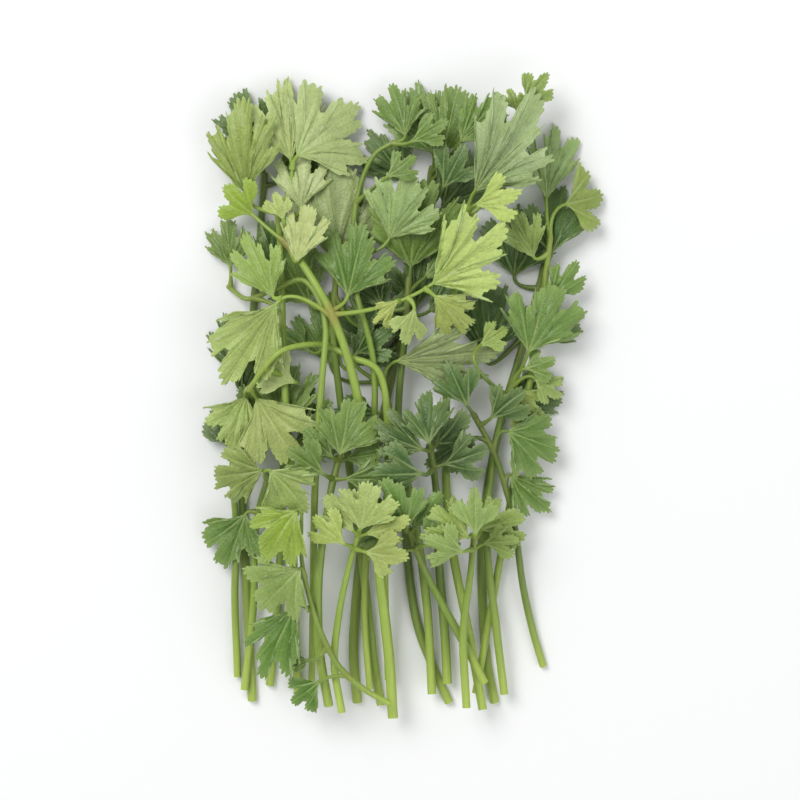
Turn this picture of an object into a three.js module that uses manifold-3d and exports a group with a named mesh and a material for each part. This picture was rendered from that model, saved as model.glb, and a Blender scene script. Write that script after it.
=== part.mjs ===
// A bunch of cut coriander lying loose on a flat surface. Millimetres, +Z up.
// The leaves point to +Y, and the cut stem ends lie at -Y.
// The bunch is a pile of sprigs. A sprig is one long stem with thin stalks, and each stalk carries one
// leaflet, a fan of toothed lobes. Each sprig is one closed solid.
// The sprigs are laid one at a time, the lowest first. A relief map holds the height of what lies there
// already, and each new stem, stalk and leaflet rests on it with a little air between.
import * as THREE from "three";
import { mergeVertices } from "three/addons/utils/BufferGeometryUtils.js";
import Module from "manifold-3d";

const wasm = await Module();
wasm.setup();

// Driving dimensions, in millimetres.
const BLADE = 0.8; // a leaf blade, measured straight up
const AIR = 0.4; // between two sprigs
// A stalk's section, its step, and how steeply it can bend down.
const STALK = { width: 1.3, height: 1.0, step: 7, drop: 0.6 };
// A stem's section every step, its thinning from a share of its length on, and its last stalk's root.
const STEM = { step: 17, tipShare: 0.62, taperFrom: 0.3, lastRoot: 0.985 };
const FLAT_SIDE = Math.cos(Math.PI / 6); // from a six-sided stem's middle to a side, in radii
const STEM_BEND = 0.012; // how fast a stem can drop beside what it lies on, per millimetre squared
const MIDDLE = [-0.21, -0.06]; // middle of the bunch on the surface, in the frame of the layout below
const CELL = 0.5; // of the relief map
const SAMPLE = 0.4; // spacing of the points that are tested against the relief map
const SLOPES = [-0.24, -0.16, -0.08, 0, 0.08, 0.16, 0.24]; // that a leaflet may settle at

// Half of a leaflet's outline, from beside the midrib to the base: [angle off the midrib in degrees,
// reach as a share of the leaflet's length]. The deep notches part the lobes, and each lobe has one to
// three teeth. The tooth on the midrib itself has angle 0 and reach 1.
const BROAD_HALF = [
  [6, 0.93], [12, 0.95], [18, 0.63], [25, 0.88], [31, 0.85], [38, 0.9], [44, 0.63], [50, 0.77], [56, 0.5],
];
const SMALL_HALF = [[9, 0.9], [18, 0.6], [28, 0.88], [37, 0.83], [46, 0.82], [55, 0.48]];
// Points inside the outline, which give the blade its arch: [angles in degrees], all at this reach.
const BROAD_RING = { angles: [-43, -22, 0, 22, 43], reach: 0.42 };
const SMALL_RING = { angles: [-37, 0, 37], reach: 0.38 };
const OPENING = [0.85, 1.2]; // widest range of a leaflet's angles, from a wedge to an open fan
const FULL_WIDTH = 0.95; // narrows every outline across its midrib
const BROAD_FROM = 14.5; // a leaflet as long as this has the broad outline

// The layout, lowest sprig first. A route runs from the cut end to the fork, as [x, y] points.
// leaves: [where its stalk leaves the stem, base x, base y, tip x, tip y, width], as a share of the
// stem's length, millimetres and a share of the full width. A share over 1, such as 2.7, puts the
// stalk on the stalk of leaflet 2 of the sprig, at 0.7 of its length. crown: the length of the end
// leaflet of a sprig whose leaves are placed by rule.
const SPRIGS = [
  // long sprigs at the bottom of the pile: dark crowns that show between the others
  {
    radius: 1.55, tone: 0,
    route: [[-13.3, -91.6], [-14.3, -72], [-11, -38], [-4, 2], [4, 38], [9, 68]],
    leaves: [
      [0.8, -3, 47, -14, 60, 0.95], [0.84, 12, 56, 24, 73, 1],
      [0.88, 1, 64, -10, 78, 1.1], [1, 9, 72, 1, 91, 0.9],
      [1, 12, 72, 16, 92, 0.85], [0.96, 17, 75, 28, 89, 0.85],
      [0.9, 12, 62, 18, 74, 1], [0.62, -21, 10, -25, 31, 1],
      [0.68, -8, 13, -12, 33, 1], [0.74, 4, 27, 3, 44, 0.9],
    ],
  },
  {
    radius: 1.5, tone: 0,
    route: [[-44.7, -91.1], [-46, -60], [-47.3, -27], [-45, 10], [-42, 42], [-40, 66]],
    leaves: [
      [0.72, -48, 6, -52.5, 25, 0.8], [0.8, -38, 36, -30, 52, 0.9], [1, -42, 72, -49, 90, 0.9],
      [0.97, -35, 64, -20, 76, 1],
    ],
  },
  {
    radius: 1.55, tone: 0,
    route: [[27.8, -91.6], [25, -75], [24, -40], [29, -8], [37, 20], [42, 40]],
    leaves: [
      [0.75, 34, -3, 45, 8, 1], [0.8, 25, 12, 26, 36, 1],
      [0.88, 41, 16, 51, 27, 0.9], [0.92, 33, 36, 34, 57, 0.9],
      [1, 43.5, 43, 44, 63, 0.85],
    ],
  },
  {
    radius: 1.45, tone: 1,
    route: [[-6.1, -92.2], [-8.4, -78], [-12, -45], [-17, -8], [-20, 20], [-19, 37]],
    leaves: [
      [0.82, -27, 14, -38, 22, 0.9], [0.88, -27, 28, -37, 44, 0.9], [0.92, -9, 22, 2, 31, 0.9],
      [0.86, -14, 10, -4, 21, 0.95], [1, -19, 40, -18, 73, 1],
    ],
  },
  {
    radius: 1.45, tone: 0,
    route: [[14.2, -91.6], [9.9, -82], [4, -65], [1, -38], [-1, -5], [1, 20], [2, 36]],
    leaves: [
      [0.88, 8, 26, 20, 35, 0.9], [0.9, -6, 28, -15, 40, 0.9],
      [0.95, 7, 36, 21, 46, 1], [1, 2.6, 39, 4.5, 65, 1],
    ],
  },
  {
    radius: 1.2, tone: 1,
    route: [[-49, -83.5], [-49.5, -60], [-49, -38], [-50, -20], [-48, -4]],
    leaves: [[0.82, -51, -14, -56, -1.5, 0.75], [1, -47, 1, -39, 17, 0.85]],
  },

  // the right and middle of the middle layer
  {
    radius: 1.2, tone: 2,
    route: [[22, -88], [27, -60], [33, -25], [38, 8], [41, 30], [43, 48]],
    leaves: [
      [0.88, 43, 30, 51, 41, 0.85], [0.94, 38, 42, 32, 56, 0.9],
      [1, 42, 59, 43, 80, 0.85], [1, 47.5, 57, 59.5, 59.5, 1.4],
    ],
  },
  {
    radius: 1.4, tone: 2,
    route: [[24, -92], [20, -70], [14, -38], [13, -6], [14, 22], [17, 44], [19, 54]],
    leaves: [
      [1, 33, 84, 30.5, 90.5, 0.9], [1.8, 35, 86.5, 42, 94.5, 0.9], [1, 21, 61, 41, 87, 0.75],
      [1, 21, 57, 34, 61, 1.05],
    ],
  },
  {
    radius: 1.4, tone: 1,
    route: [[9, -88], [7.5, -62], [4, -36], [-1, -12], [-6, 6]],
    leaves: [[0.9, -7, -4, -20, -3, 0.85], [1, -1, 12, 28, 16, 0.75], [1, -13, 14, -2, 22, 0.85]],
  },
  {
    radius: 1.4, tone: 1, crown: 17,
    route: [[-39.4, -86.4], [-37.5, -68], [-36, -45], [-35, -20], [-34, -8]],
  },

  // long sprigs over them, lighter, with the pale thin stalk between the leaves at the top
  {
    radius: 1.3, tone: 1,
    route: [[30.5, -88], [28, -68], [25, -40], [28, -12], [33, 6]],
    leaves: [
      [0.9, 32.2, 2.9, 42, -6, 1.1], [0.96, 38.9, 6.5, 47, 0.5, 1], [0.98, 36, 9.5, 44.5, 12.5, 1],
      [0.92, 22.9, 16.5, 31, 21.5, 0.9], [1, 36.8, 14.5, 42.5, 35, 1.1],
    ],
  },
  {
    radius: 1.05, tone: 1,
    route: [
      [-9.5, -86], [-11, -60], [-9, -25], [-8, 10], [-13.5, 34],
      [-14, 50], [-12, 62], [-8, 71], [-2, 75],
    ],
    leaves: [
      [0.56, -3.5, 47.5, 5, 66, 0.95], [0.7, -4, 65, 4, 71, 0.9],
      [1, 1, 77, -2, 92, 0.9], [1, 3, 75, 13, 81, 0.9],
    ],
  },
  {
    radius: 1.4, tone: 3,
    route: [[-31, -89], [-32, -62], [-32, -28], [-34, 8], [-35, 38], [-36, 56]],
    leaves: [
      [0.97, -29.3, 56, -29.5, 73, 1], [1, -32, 70, -37, 93, 1.05], [2.8, -30, 71, -13, 86, 1.15],
      [1, -45, 60, -48, 88, 0.65],
    ],
  },

  // the bright sprigs on top: the arched stem at the left, the curled one, and the forked one
  {
    radius: 1.15, tone: 3, step: 7,
    route: [
      [-4, -84], [-5, -50], [-4, -14], [-6, 8], [-15, 13.5],
      [-24, 17], [-33.5, 16], [-39, 11], [-44, 4],
    ],
    leaves: [[0.88, -31, 6, -43, 12, 0.95], [1, -45.5, 1, -51, -15, 1.15], [1, -42, 1, -30, -17, 1.2]],
  },
  {
    radius: 1.1, tone: 2, step: 7,
    route: [
      [-27, -88], [-26, -60], [-25, -25], [-23, 5], [-22, 24],
      [-28, 35], [-37, 32.5], [-45, 29.6], [-51, 33],
    ],
    leaves: [[0.84, -36, 25, -40.5, 14, 0.8], [1, -50, 39, -51, 54, 0.75]],
  },
  {
    radius: 1.65, tone: 3,
    route: [
      [-2.6, -94.5], [-3.8, -75], [-7, -45], [-10, -15], [-14, 8], [-19.7, 25.2], [-27, 38], [-34.2, 47],
    ],
    leaves: [
      [0.73, -15.5, 31, -10.5, 52, 1], [0.71, -36, 28.5, -51, 5, 0.75], [2.8, -37, 31, -44.5, 48.5, 0.85],
      [0.96, -30, 41, -26.5, 58, 0.85], [1, -34, 53, -36.5, 61, 0.85], [1, -43, 54, -51.5, 62, 1.15],
      [0.72, 9, 34.5, 30, 49, 1], [7.9, 9.5, 31, 20.5, 21.5, 1], [7.6, -1.5, 29.5, -8.5, 23.5, 0.9],
      [7.7, 3.5, 27, 0.5, 16.5, 0.9],
    ],
  },

  // short sprigs, whose crowns lie over the long stems
  {
    radius: 1.2, tone: 0,
    route: [[42.3, -80.6], [38.9, -69], [35.7, -54.5], [33, -36], [28, -18], [21, -4]],
    leaves: [
      [0.72, 32, -22, 44, -33.5, 0.9], [0.84, 31, -9, 47.5, -15, 1], [0.88, 18, -12, 7, -20, 0.9],
      [0.95, 26, -5, 35, 5, 1], [1, 19, -1, 13, 12, 1],
    ],
  },
  {
    radius: 1.5, tone: 1, crown: 16,
    route: [[-21.5, -89.9], [-24, -72], [-24, -50], [-21, -28], [-18, -15]],
  },
  { radius: 1.5, tone: 0, crown: 16, route: [[13.6, -85], [12.8, -70], [11, -48], [10, -26], [8, -12]] },
  {
    radius: 1.35, tone: 1, crown: 15,
    route: [[24.4, -83.5], [18.6, -72], [12, -60], [6, -48], [2, -36]],
  },
  { radius: 1.3, tone: 2, crown: 15, route: [[19, -90], [18, -68], [20, -50], [21, -38]] },
  {
    radius: 1.2, tone: 3, crown: 14,
    route: [[-17.5, -90.8], [-19.7, -76], [-18, -60], [-15, -46], [-12, -36]],
  },

  // the low leaves at the left, over everything there
  {
    radius: 1.2, tone: 2,
    route: [[-46.9, -87], [-44, -62], [-43.5, -45], [-42, -32], [-39, -22]],
    leaves: [
      [0.72, -46, -34, -52, -50, 0.95], [1, -40.5, -19.5, -55.5, -22, 1.05],
      [1, -37, -18, -26, -29, 1.2],
    ],
  },
  {
    radius: 0.95, tone: 1,
    route: [[-3.8, -87.9], [-11.3, -83], [-18.6, -75.4], [-24, -64], [-28, -50], [-29.5, -38]],
    leaves: [
      [0.32, -24, -81.5, -33, -89, 1], [0.5, -27, -75, -34, -77, 0.8], [0.66, -31, -59, -42, -80, 0.85],
      [0.8, -29.5, -47, -41.5, -60, 1.05], [1, -30, -29.5, -41, -43, 1.05],
    ],
  },
];

// Random numbers from 0 to 1 that are always the same for the same seed.
function randomFrom(seed) {
  let state = Math.imul(seed + 1, 2654435761) >>> 0;
  return () => {
    state = (Math.imul(state, 1664525) + 1013904223) >>> 0;
    return state / 4294967296;
  };
}

const radians = (degrees) => (degrees * Math.PI) / 180;
const mix = (a, b, share) => a + (b - a) * share;

// The relief map of the pile.
const MAP = { x0: -80, y0: -115, columns: 320, rows: 460 };
const relief = new Float64Array(MAP.columns * MAP.rows);

// The height that something at x, y has to clear, with its air. The bare surface needs no air.
function clearHeight(map, x, y) {
  const column = Math.floor((x - MAP.x0) / CELL);
  const row = Math.floor((y - MAP.y0) / CELL);
  let highest = 0;
  for (let r = row - 1; r <= row + 1; r++) {
    for (let c = column - 1; c <= column + 1; c++) {
      highest = Math.max(highest, map[r * MAP.columns + c]);
    }
  }
  return highest > 0 ? highest + AIR : 0;
}

function raiseRelief(x, y, z) {
  const column = Math.floor((x - MAP.x0) / CELL);
  const row = Math.floor((y - MAP.y0) / CELL);
  const cell = row * MAP.columns + column;
  relief[cell] = Math.max(relief[cell], z);
}

// Calls visit(a, b, c) with the shares of a triangle's corners, for points spread over the triangle.
function overTriangle(p, q, r, visit) {
  const longest = Math.max(
    Math.hypot(p[0] - q[0], p[1] - q[1]),
    Math.hypot(q[0] - r[0], q[1] - r[1]),
    Math.hypot(r[0] - p[0], r[1] - p[1]),
  );
  const n = Math.max(1, Math.ceil(longest / SAMPLE));
  for (let i = 0; i <= n; i++) {
    for (let j = 0; j <= n - i; j++) visit(i / n, j / n, (n - i - j) / n);
  }
}

// Writes a closed surface into the relief map.
function pressInto(points, faces) {
  for (const [a, b, c] of faces) {
    const [p, q, r] = [points[a], points[b], points[c]];
    overTriangle(p, q, r, (s, t, w) =>
      raiseRelief(...[0, 1, 2].map((axis) => s * p[axis] + t * q[axis] + w * r[axis])),
    );
  }
}

// A closed list of points and faces as a solid.
function solidOf(points, faces) {
  return new wasm.Manifold(
    new wasm.Mesh({
      numProp: 3,
      vertProperties: new Float32Array(points.flat()),
      triVerts: new Uint32Array(faces.flat()),
    }),
  );
}

// A leaflet's own form: its length, heading and outline, and how its blade arches, folds and waves.
function leafletForm([along, bx, by, tx, ty, width], seed) {
  const random = randomFrom(seed);
  const length = Math.hypot(tx - bx, ty - by);
  const broad = length >= BROAD_FROM;
  const half = broad ? BROAD_HALF : SMALL_HALF;
  const form = {
    along, length, width,
    base: [bx, by],
    heading: [(tx - bx) / length, (ty - by) / length],
    arch: mix(0.2, 1, random()),
    droop: mix(-0.2, 1, random()),
    fold: mix(-0.5, 0.8, random()),
    wave: mix(0.4, 1, random()),
    phase: mix(0, 2 * Math.PI, random()),
  };
  const skew = mix(-0.1, 0.1, random());
  const opening = mix(...OPENING, random());
  const right = half.map(([angle, reach]) => [-angle, reach * (1 + skew)]).reverse();
  const left = half.map(([angle, reach]) => [angle, reach * (1 - skew)]);
  form.outline = [...right, [0, 1], ...left].map(([angle, reach]) => [
    angle * opening + mix(-2, 2, random()),
    reach * mix(0.93, 1.05, random()),
  ]);
  const ring = broad ? BROAD_RING : SMALL_RING;
  form.ring = ring.angles.map((angle) => [angle * opening, ring.reach]);
  return form;
}

// The place of a point of a blade, as [forwards, left, up] from its base.
function onBlade(form, angleDegrees, reach) {
  const angle = radians(angleDegrees);
  const up =
    0.1 * form.arch * Math.sin(Math.PI * Math.min(reach, 1)) -
    0.12 * form.droop * reach * reach +
    0.26 * form.fold * Math.abs(Math.sin(angle)) * reach +
    0.08 * form.wave * reach * reach * Math.sin(3 * angle + form.phase);
  return [
    form.length * reach * Math.cos(angle),
    form.length * reach * Math.sin(angle) * form.width * FULL_WIDTH,
    form.length * up,
  ];
}

// The blade's upper face: its points as [forwards, left, up], and its triangles, which turn left
// seen from above. Points 0 and 1 are the right and left of the base, then come outline and ring.
function bladeSheet(form) {
  const outline = form.outline;
  const ring = form.ring;
  const half = STALK.width / 2;
  const points = [
    [0, -half, 0],
    [0, half, 0],
    ...outline.map(([angle, reach]) => onBlade(form, angle, reach)),
    ...ring.map(([angle, reach]) => onBlade(form, angle, reach)),
  ];
  const outer = (i) => 2 + i;
  const inner = (j) => 2 + outline.length + j;
  const middle = (ring.length - 1) / 2;
  const faces = [
    [0, outer(0), inner(0)],
    [0, inner(middle), 1],
    [1, inner(ring.length - 1), outer(outline.length - 1)],
  ];
  for (let j = 0; j < ring.length - 1; j++) faces.push([j < middle ? 0 : 1, inner(j), inner(j + 1)]);
  let i = 0;
  let j = 0;
  while (i < outline.length - 1 || j < ring.length - 1) {
    const ringNext = j < ring.length - 1 ? (ring[j][0] + ring[j + 1][0]) / 2 : Infinity;
    if (i < outline.length - 1 && (outline[i][0] + outline[i + 1][0]) / 2 < ringNext) {
      faces.push([inner(j), outer(i), outer(i + 1)]);
      i += 1;
    } else {
      faces.push([inner(j), outer(i), inner(j + 1)]);
      j += 1;
    }
  }
  return { points, faces };
}

// Lowers a blade on the relief map, at the slope that lets it lie lowest. Its base stays above the
// height that its stalk can bend down to. Gives the height of its base and its two slopes.
function settleBlade(form, sheet, lowest) {
  const [hx, hy] = form.heading;
  const tests = [];
  for (const face of sheet.faces) {
    const [p, q, r] = face.map((n) => sheet.points[n]);
    overTriangle(p, q, r, (a, b, c) => {
      const [u, v, w] = [0, 1, 2].map((k) => a * p[k] + b * q[k] + c * r[k]);
      const [x, y] = [form.base[0] + u * hx - v * hy, form.base[1] + u * hy + v * hx];
      const under = clearHeight(relief, x, y);
      tests.push([u, v, under + BLADE - w]);
    });
  }
  let best = null;
  for (const forwards of SLOPES) {
    for (const left of SLOPES) {
      let base = lowest;
      let sum = 0;
      for (const [u, v, need] of tests) {
        base = Math.max(base, need - forwards * u - left * v);
        sum += forwards * u + left * v;
      }
      const height = base + sum / tests.length;
      if (!best || height < best.height) best = { height, base, forwards, left };
    }
  }
  return best;
}

// A leaflet and its stalk as one closed surface. The stalk is a thin bar from inside the stem at
// root to the blade's base, and keeps clear of the map of the sprigs below.
function leafletSurface(form, sheet, rest, root, below) {
  const [hx, hy] = form.heading;
  const reach = Math.hypot(form.base[0] - root.x, form.base[1] - root.y);
  const base = new THREE.Vector2(...form.base);
  const bend = base.clone().addScaledVector(new THREE.Vector2(hx, hy), -0.45 * reach);
  const path = new THREE.QuadraticBezierCurve(new THREE.Vector2(root.x, root.y), bend, base);
  const count = Math.max(2, Math.ceil(reach / STALK.step));
  const end = rest.base - BLADE / 2;
  const heights = [];
  for (let k = 0; k <= count; k++) heights.push(mix(root.z, end, k / count));
  liftStalk(path, heights, below);

  const points = [];
  for (let k = 0; k < count; k++) {
    const centre = path.getPoint(k / count);
    const along = path.getTangent(k / count);
    for (const [side, up] of [[1, 1], [-1, 1], [-1, -1], [1, -1]]) {
      points.push([
        centre.x - (side * along.y * STALK.width) / 2,
        centre.y + (side * along.x * STALK.width) / 2,
        heights[k] + (up * STALK.height) / 2,
      ]);
    }
  }
  const top = sheet.points.map(([u, v, w]) => [
    form.base[0] + u * hx - v * hy,
    form.base[1] + u * hy + v * hx,
    rest.base + rest.forwards * u + rest.left * v + w,
  ]);
  const topAt = points.length;
  const lowAt = topAt + top.length;
  points.push(...top, ...top.map(([x, y, z]) => [x, y, z - BLADE]));

  const faces = [[0, 3, 2], [0, 2, 1]];
  const ring = (k) =>
    k < count ? [0, 1, 2, 3].map((c) => 4 * k + c) : [topAt + 1, topAt, lowAt, lowAt + 1];
  for (let k = 0; k < count; k++) {
    const [near, far] = [ring(k), ring(k + 1)];
    for (let c = 0; c < 4; c++) {
      const d = (c + 1) % 4;
      faces.push([near[c], near[d], far[d]], [near[c], far[d], far[c]]);
    }
  }
  for (const [a, b, c] of sheet.faces) {
    faces.push([topAt + a, topAt + b, topAt + c], [lowAt + a, lowAt + c, lowAt + b]);
  }
  const rim = [0, ...form.outline.map((_, n) => 2 + n), 1];
  for (let n = 0; n < rim.length - 1; n++) {
    const [a, b] = [rim[n], rim[n + 1]];
    faces.push([topAt + a, lowAt + a, lowAt + b], [topAt + a, lowAt + b, topAt + b]);
  }
  const stalkPoint = (share) => {
    const step = Math.min(count - 1, Math.floor(share * count));
    const place = path.getPoint(share);
    return { x: place.x, y: place.y, z: mix(heights[step], heights[step + 1], share * count - step) };
  };
  return { points, faces, stalkPoint };
}

// Raises the inner points of a stalk until it clears the sprigs below.
function liftStalk(path, heights, below) {
  const count = heights.length - 1;
  const perStep = 12;
  for (let turn = 0; turn < 12; turn++) {
    for (let n = 1; n < count * perStep; n++) {
      const share = n / (count * perStep);
      const step = Math.floor(share * count);
      const place = path.getPoint(share);
      const height = mix(heights[step], heights[step + 1], share * count - step);
      let need = 0;
      for (const [dx, dy] of [[0.6, 0], [-0.6, 0], [0, 0.6], [0, -0.6]]) {
        need = Math.max(need, clearHeight(below, place.x + dx, place.y + dy));
      }
      const short = need + STALK.height / 2 - height;
      if (short <= 0) continue;
      if (step > 0) heights[step] += short;
      if (step + 1 < count) heights[step + 1] += short;
    }
  }
}

// A stem's radius at a share of its length: full at the cut end, thinner at the fork.
function stemRadius(sprig, share) {
  const thin = Math.max(0, (share - STEM.taperFrom) / (1 - STEM.taperFrom));
  return sprig.radius * mix(1, STEM.tipShare, thin);
}

// A smooth line along which a section keeps its flat side down, however the line bends.
class UprightCurve extends THREE.CatmullRomCurve3 {
  computeFrenetFrames(segments) {
    const frames = { tangents: [], normals: [], binormals: [] };
    for (let n = 0; n <= segments; n++) {
      const tangent = this.getTangentAt(n / segments);
      const up = new THREE.Vector3(0, 0, 1).addScaledVector(tangent, -tangent.z).normalize();
      frames.tangents.push(tangent);
      frames.normals.push(up);
      frames.binormals.push(new THREE.Vector3().crossVectors(tangent, up));
    }
    return frames;
  }
}

// A stem's route as a smooth line on the surface.
function stemRoute(sprig) {
  const points = sprig.route.map(([x, y]) => new THREE.Vector3(x, y, 0));
  return new THREE.CatmullRomCurve3(points, false, "catmullrom", 0.5);
}

// A stem's line in space: its route on the surface, lifted over what it crosses. It bends over an
// obstacle in a parabola, as a stiff stem does.
function stemLine(sprig, flat) {
  const fine = 120;
  const needs = [];
  for (let n = 0; n <= fine; n++) {
    const place = flat.getPoint(n / fine);
    const radius = stemRadius(sprig, n / fine);
    let need = 0;
    for (let turn = 0; turn < 8; turn++) {
      const x = place.x + radius * Math.cos((turn * Math.PI) / 4);
      const y = place.y + radius * Math.sin((turn * Math.PI) / 4);
      need = Math.max(need, clearHeight(relief, x, y));
    }
    need = Math.max(need, clearHeight(relief, place.x, place.y));
    needs.push(need + radius * (need > 0 ? 1 : FLAT_SIDE));
  }
  const length = flat.getLength();
  const step = sprig.step ?? STEM.step;
  const count = Math.ceil(length / step);
  const stations = [];
  for (let k = 0; k <= count; k++) {
    const station = flat.getPoint(k / count);
    for (let n = 0; n <= fine; n++) {
      const away = Math.max(0, Math.abs(k / count - n / fine) * length - 0.5 * step);
      station.z = Math.max(station.z, needs[n] - STEM_BEND * away * away);
    }
    stations.push(station);
  }
  const line = new UprightCurve(stations, false, "catmullrom", 0.5);
  let dip = 0;
  for (let n = 0; n <= fine; n++) {
    const lowest = line.getPoint(n / fine).z - stemRadius(sprig, n / fine) * FLAT_SIDE;
    dip = Math.max(dip, -lowest);
  }
  for (const station of stations) station.z += dip;
  return line;
}

// A six-sided stem, thinner towards its fork.
function stemSurface(sprig, line) {
  const corners = [];
  for (let n = 0; n < 6; n++) {
    const angle = Math.PI / 6 + (n * Math.PI) / 3;
    corners.push(new THREE.Vector2(sprig.radius * Math.cos(angle), sprig.radius * Math.sin(angle)));
  }
  const steps = line.points.length - 1;
  let tube = new THREE.ExtrudeGeometry(new THREE.Shape(corners), {
    steps, extrudePath: line, curveSegments: 1, bevelEnabled: false,
  });
  tube.deleteAttribute("normal");
  tube.deleteAttribute("uv");
  tube = mergeVertices(tube, 1e-3);
  const centres = line.getSpacedPoints(steps);
  const points = [];
  const corner = new THREE.Vector3();
  for (let n = 0; n < tube.attributes.position.count; n++) {
    corner.fromBufferAttribute(tube.attributes.position, n);
    const near = centres.reduce((a, b) => (corner.distanceTo(b) < corner.distanceTo(a) ? b : a));
    const share = centres.indexOf(near) / steps;
    corner.sub(near).multiplyScalar(stemRadius(sprig, share) / sprig.radius).add(near);
    points.push(corner.toArray());
  }
  const faces = [];
  for (let n = 0; n < tube.index.count; n += 3) faces.push(Array.from(tube.index.array.slice(n, n + 3)));
  return { points, faces };
}

// The leaflets of a sprig that are placed by rule: one at the end and pairs below it.
function crownByRule(sprig, route, seed) {
  const random = randomFrom(seed);
  const pairs = [[0.97, 58, 0.9, 2.5], [0.86, 72, 0.8, 3.5]];
  const end = route.getPoint(1);
  const before = route.getPoint(0.94);
  const heading = Math.atan2(end.y - before.y, end.x - before.x);
  const row = (along, turn, length, stalk) => {
    const from = route.getPoint(along);
    const angle = heading + radians(turn) + mix(-0.15, 0.15, random());
    const baseX = from.x + stalk * Math.cos(angle);
    const baseY = from.y + stalk * Math.sin(angle);
    const size = length * mix(0.85, 1.15, random());
    const spread = mix(0.95, 1.15, random());
    return [along, baseX, baseY, baseX + size * Math.cos(angle), baseY + size * Math.sin(angle), spread];
  };
  const rows = [];
  for (const [along, turn, share, stalk] of pairs) {
    rows.push(row(along, turn, share * sprig.crown, stalk));
    rows.push(row(along, -turn, share * sprig.crown, stalk));
  }
  rows.push(row(1, 0, sprig.crown, 1.5));
  return rows;
}

// The point inside a stem where a stalk starts.
function rootOnStem(route, line, share) {
  const { x, y } = route.getPoint(share);
  return { x, y, z: line.getPoint(share).z };
}

// Lays one sprig on the pile and gives its solid.
function laySprig(sprig, number) {
  const below = relief.slice();
  const route = stemRoute(sprig);
  const line = stemLine(sprig, route);
  const stem = stemSurface(sprig, line);
  pressInto(stem.points, stem.faces);
  let solid = solidOf(stem.points, stem.faces);
  const rows = sprig.leaves ?? crownByRule(sprig, route, 1000 + number);
  const stalks = [];
  rows.forEach((row, n) => {
    const form = leafletForm(row, 100 * number + n);
    const sheet = bladeSheet(form);
    const [along] = row;
    const root =
      along > 1
        ? stalks[Math.floor(along) - 1](along - Math.floor(along))
        : rootOnStem(route, line, Math.min(along, STEM.lastRoot));
    const stalkLength = Math.hypot(form.base[0] - root.x, form.base[1] - root.y);
    const rest = settleBlade(form, sheet, root.z - STALK.drop * stalkLength);
    const leaflet = leafletSurface(form, sheet, rest, root, below);
    stalks.push(leaflet.stalkPoint);
    pressInto(leaflet.points, leaflet.faces);
    solid = solid.add(solidOf(leaflet.points, leaflet.faces));
  });
  return outerBody(solid);
}

// The body of a joined solid without the hollows that crossing blades have sealed in it.
function outerBody(solid) {
  const bodies = solid.decompose().filter((body) => body.volume() > 0);
  if (bodies.length !== 1) throw new Error("a leaflet of a sprig hangs free of its stem");
  return bodies[0];
}

// The greens of the sprigs, from the dark ones deep in the pile to the pale ones on top.
const GREENS = ["#3d6b35", "#5d8c42", "#7ea755", "#a3bf6b"];

function sprigMesh(sprig, number) {
  const made = laySprig(sprig, number).getMesh();
  const geometry = new THREE.BufferGeometry();
  geometry.setAttribute("position", new THREE.BufferAttribute(made.vertProperties, 3));
  geometry.setIndex(new THREE.BufferAttribute(made.triVerts, 1));
  const material = new THREE.MeshStandardMaterial({
    color: GREENS[sprig.tone], roughness: 0.65, metalness: 0, flatShading: true,
  });
  const mesh = new THREE.Mesh(geometry, material);
  mesh.name = "sprig_" + String(number).padStart(2, "0");
  return mesh;
}

const bunch = new THREE.Group();
bunch.name = "coriander_bunch";
SPRIGS.forEach((sprig, index) => bunch.add(sprigMesh(sprig, index + 1)));
bunch.position.set(-MIDDLE[0], -MIDDLE[1], 0);

export default bunch;
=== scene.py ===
# %% [markdown]
# # A bunch of cut coriander
#
# The bunch is a loose pile of sprigs. A sprig is one long ribbed stem with thin stalks, and each
# stalk carries a leaflet with lobes and rounded teeth. The rigid model in the frame already holds
# every stem and leaflet in its place, but its blades are flat facets. Here each sprig of the
# frame is replaced by a finer one of the same form, so that the bunch gets veins, thin edges and
# a waxy leaf surface.

# %% Load the frame
import math

import bpy
import numpy as np
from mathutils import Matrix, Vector
from mathutils.bvhtree import BVHTree
from mathutils.kdtree import KDTree


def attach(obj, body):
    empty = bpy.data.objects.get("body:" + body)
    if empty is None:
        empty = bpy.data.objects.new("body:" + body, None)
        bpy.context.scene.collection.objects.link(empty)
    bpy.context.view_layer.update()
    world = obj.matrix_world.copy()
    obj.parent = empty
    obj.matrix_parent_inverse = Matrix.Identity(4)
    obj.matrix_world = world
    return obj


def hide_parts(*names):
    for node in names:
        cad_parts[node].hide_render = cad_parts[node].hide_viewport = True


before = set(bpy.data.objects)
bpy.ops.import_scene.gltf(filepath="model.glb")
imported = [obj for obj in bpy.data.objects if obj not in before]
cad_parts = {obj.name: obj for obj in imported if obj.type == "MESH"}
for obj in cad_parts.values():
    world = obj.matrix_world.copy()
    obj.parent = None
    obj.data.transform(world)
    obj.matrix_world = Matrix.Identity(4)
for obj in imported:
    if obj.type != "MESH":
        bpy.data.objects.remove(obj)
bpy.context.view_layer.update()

MM = 0.001  # Blender works in metres, and the sizes below are in millimetres
print("sprigs in the frame:", len(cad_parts))

# %% [markdown]
# ## Camera
#
# A flat thing is best shown from above. A long lens far away keeps the stems parallel, and a
# small lean towards the leaf tips lets the nearer rims of the pile show. The lens follows from
# the width that the picture has to take in and the distance, so that either can be changed alone.

# %% Camera over the bunch
VIEW_WIDTH = 0.232  # of the picture at the height of the bunch
VIEW_DISTANCE = 0.62
VIEW_LEAN = math.radians(6)
VIEW_MIDDLE = Vector((-0.0003, 0.0006, 0.012))
SENSOR = 36.0

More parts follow.
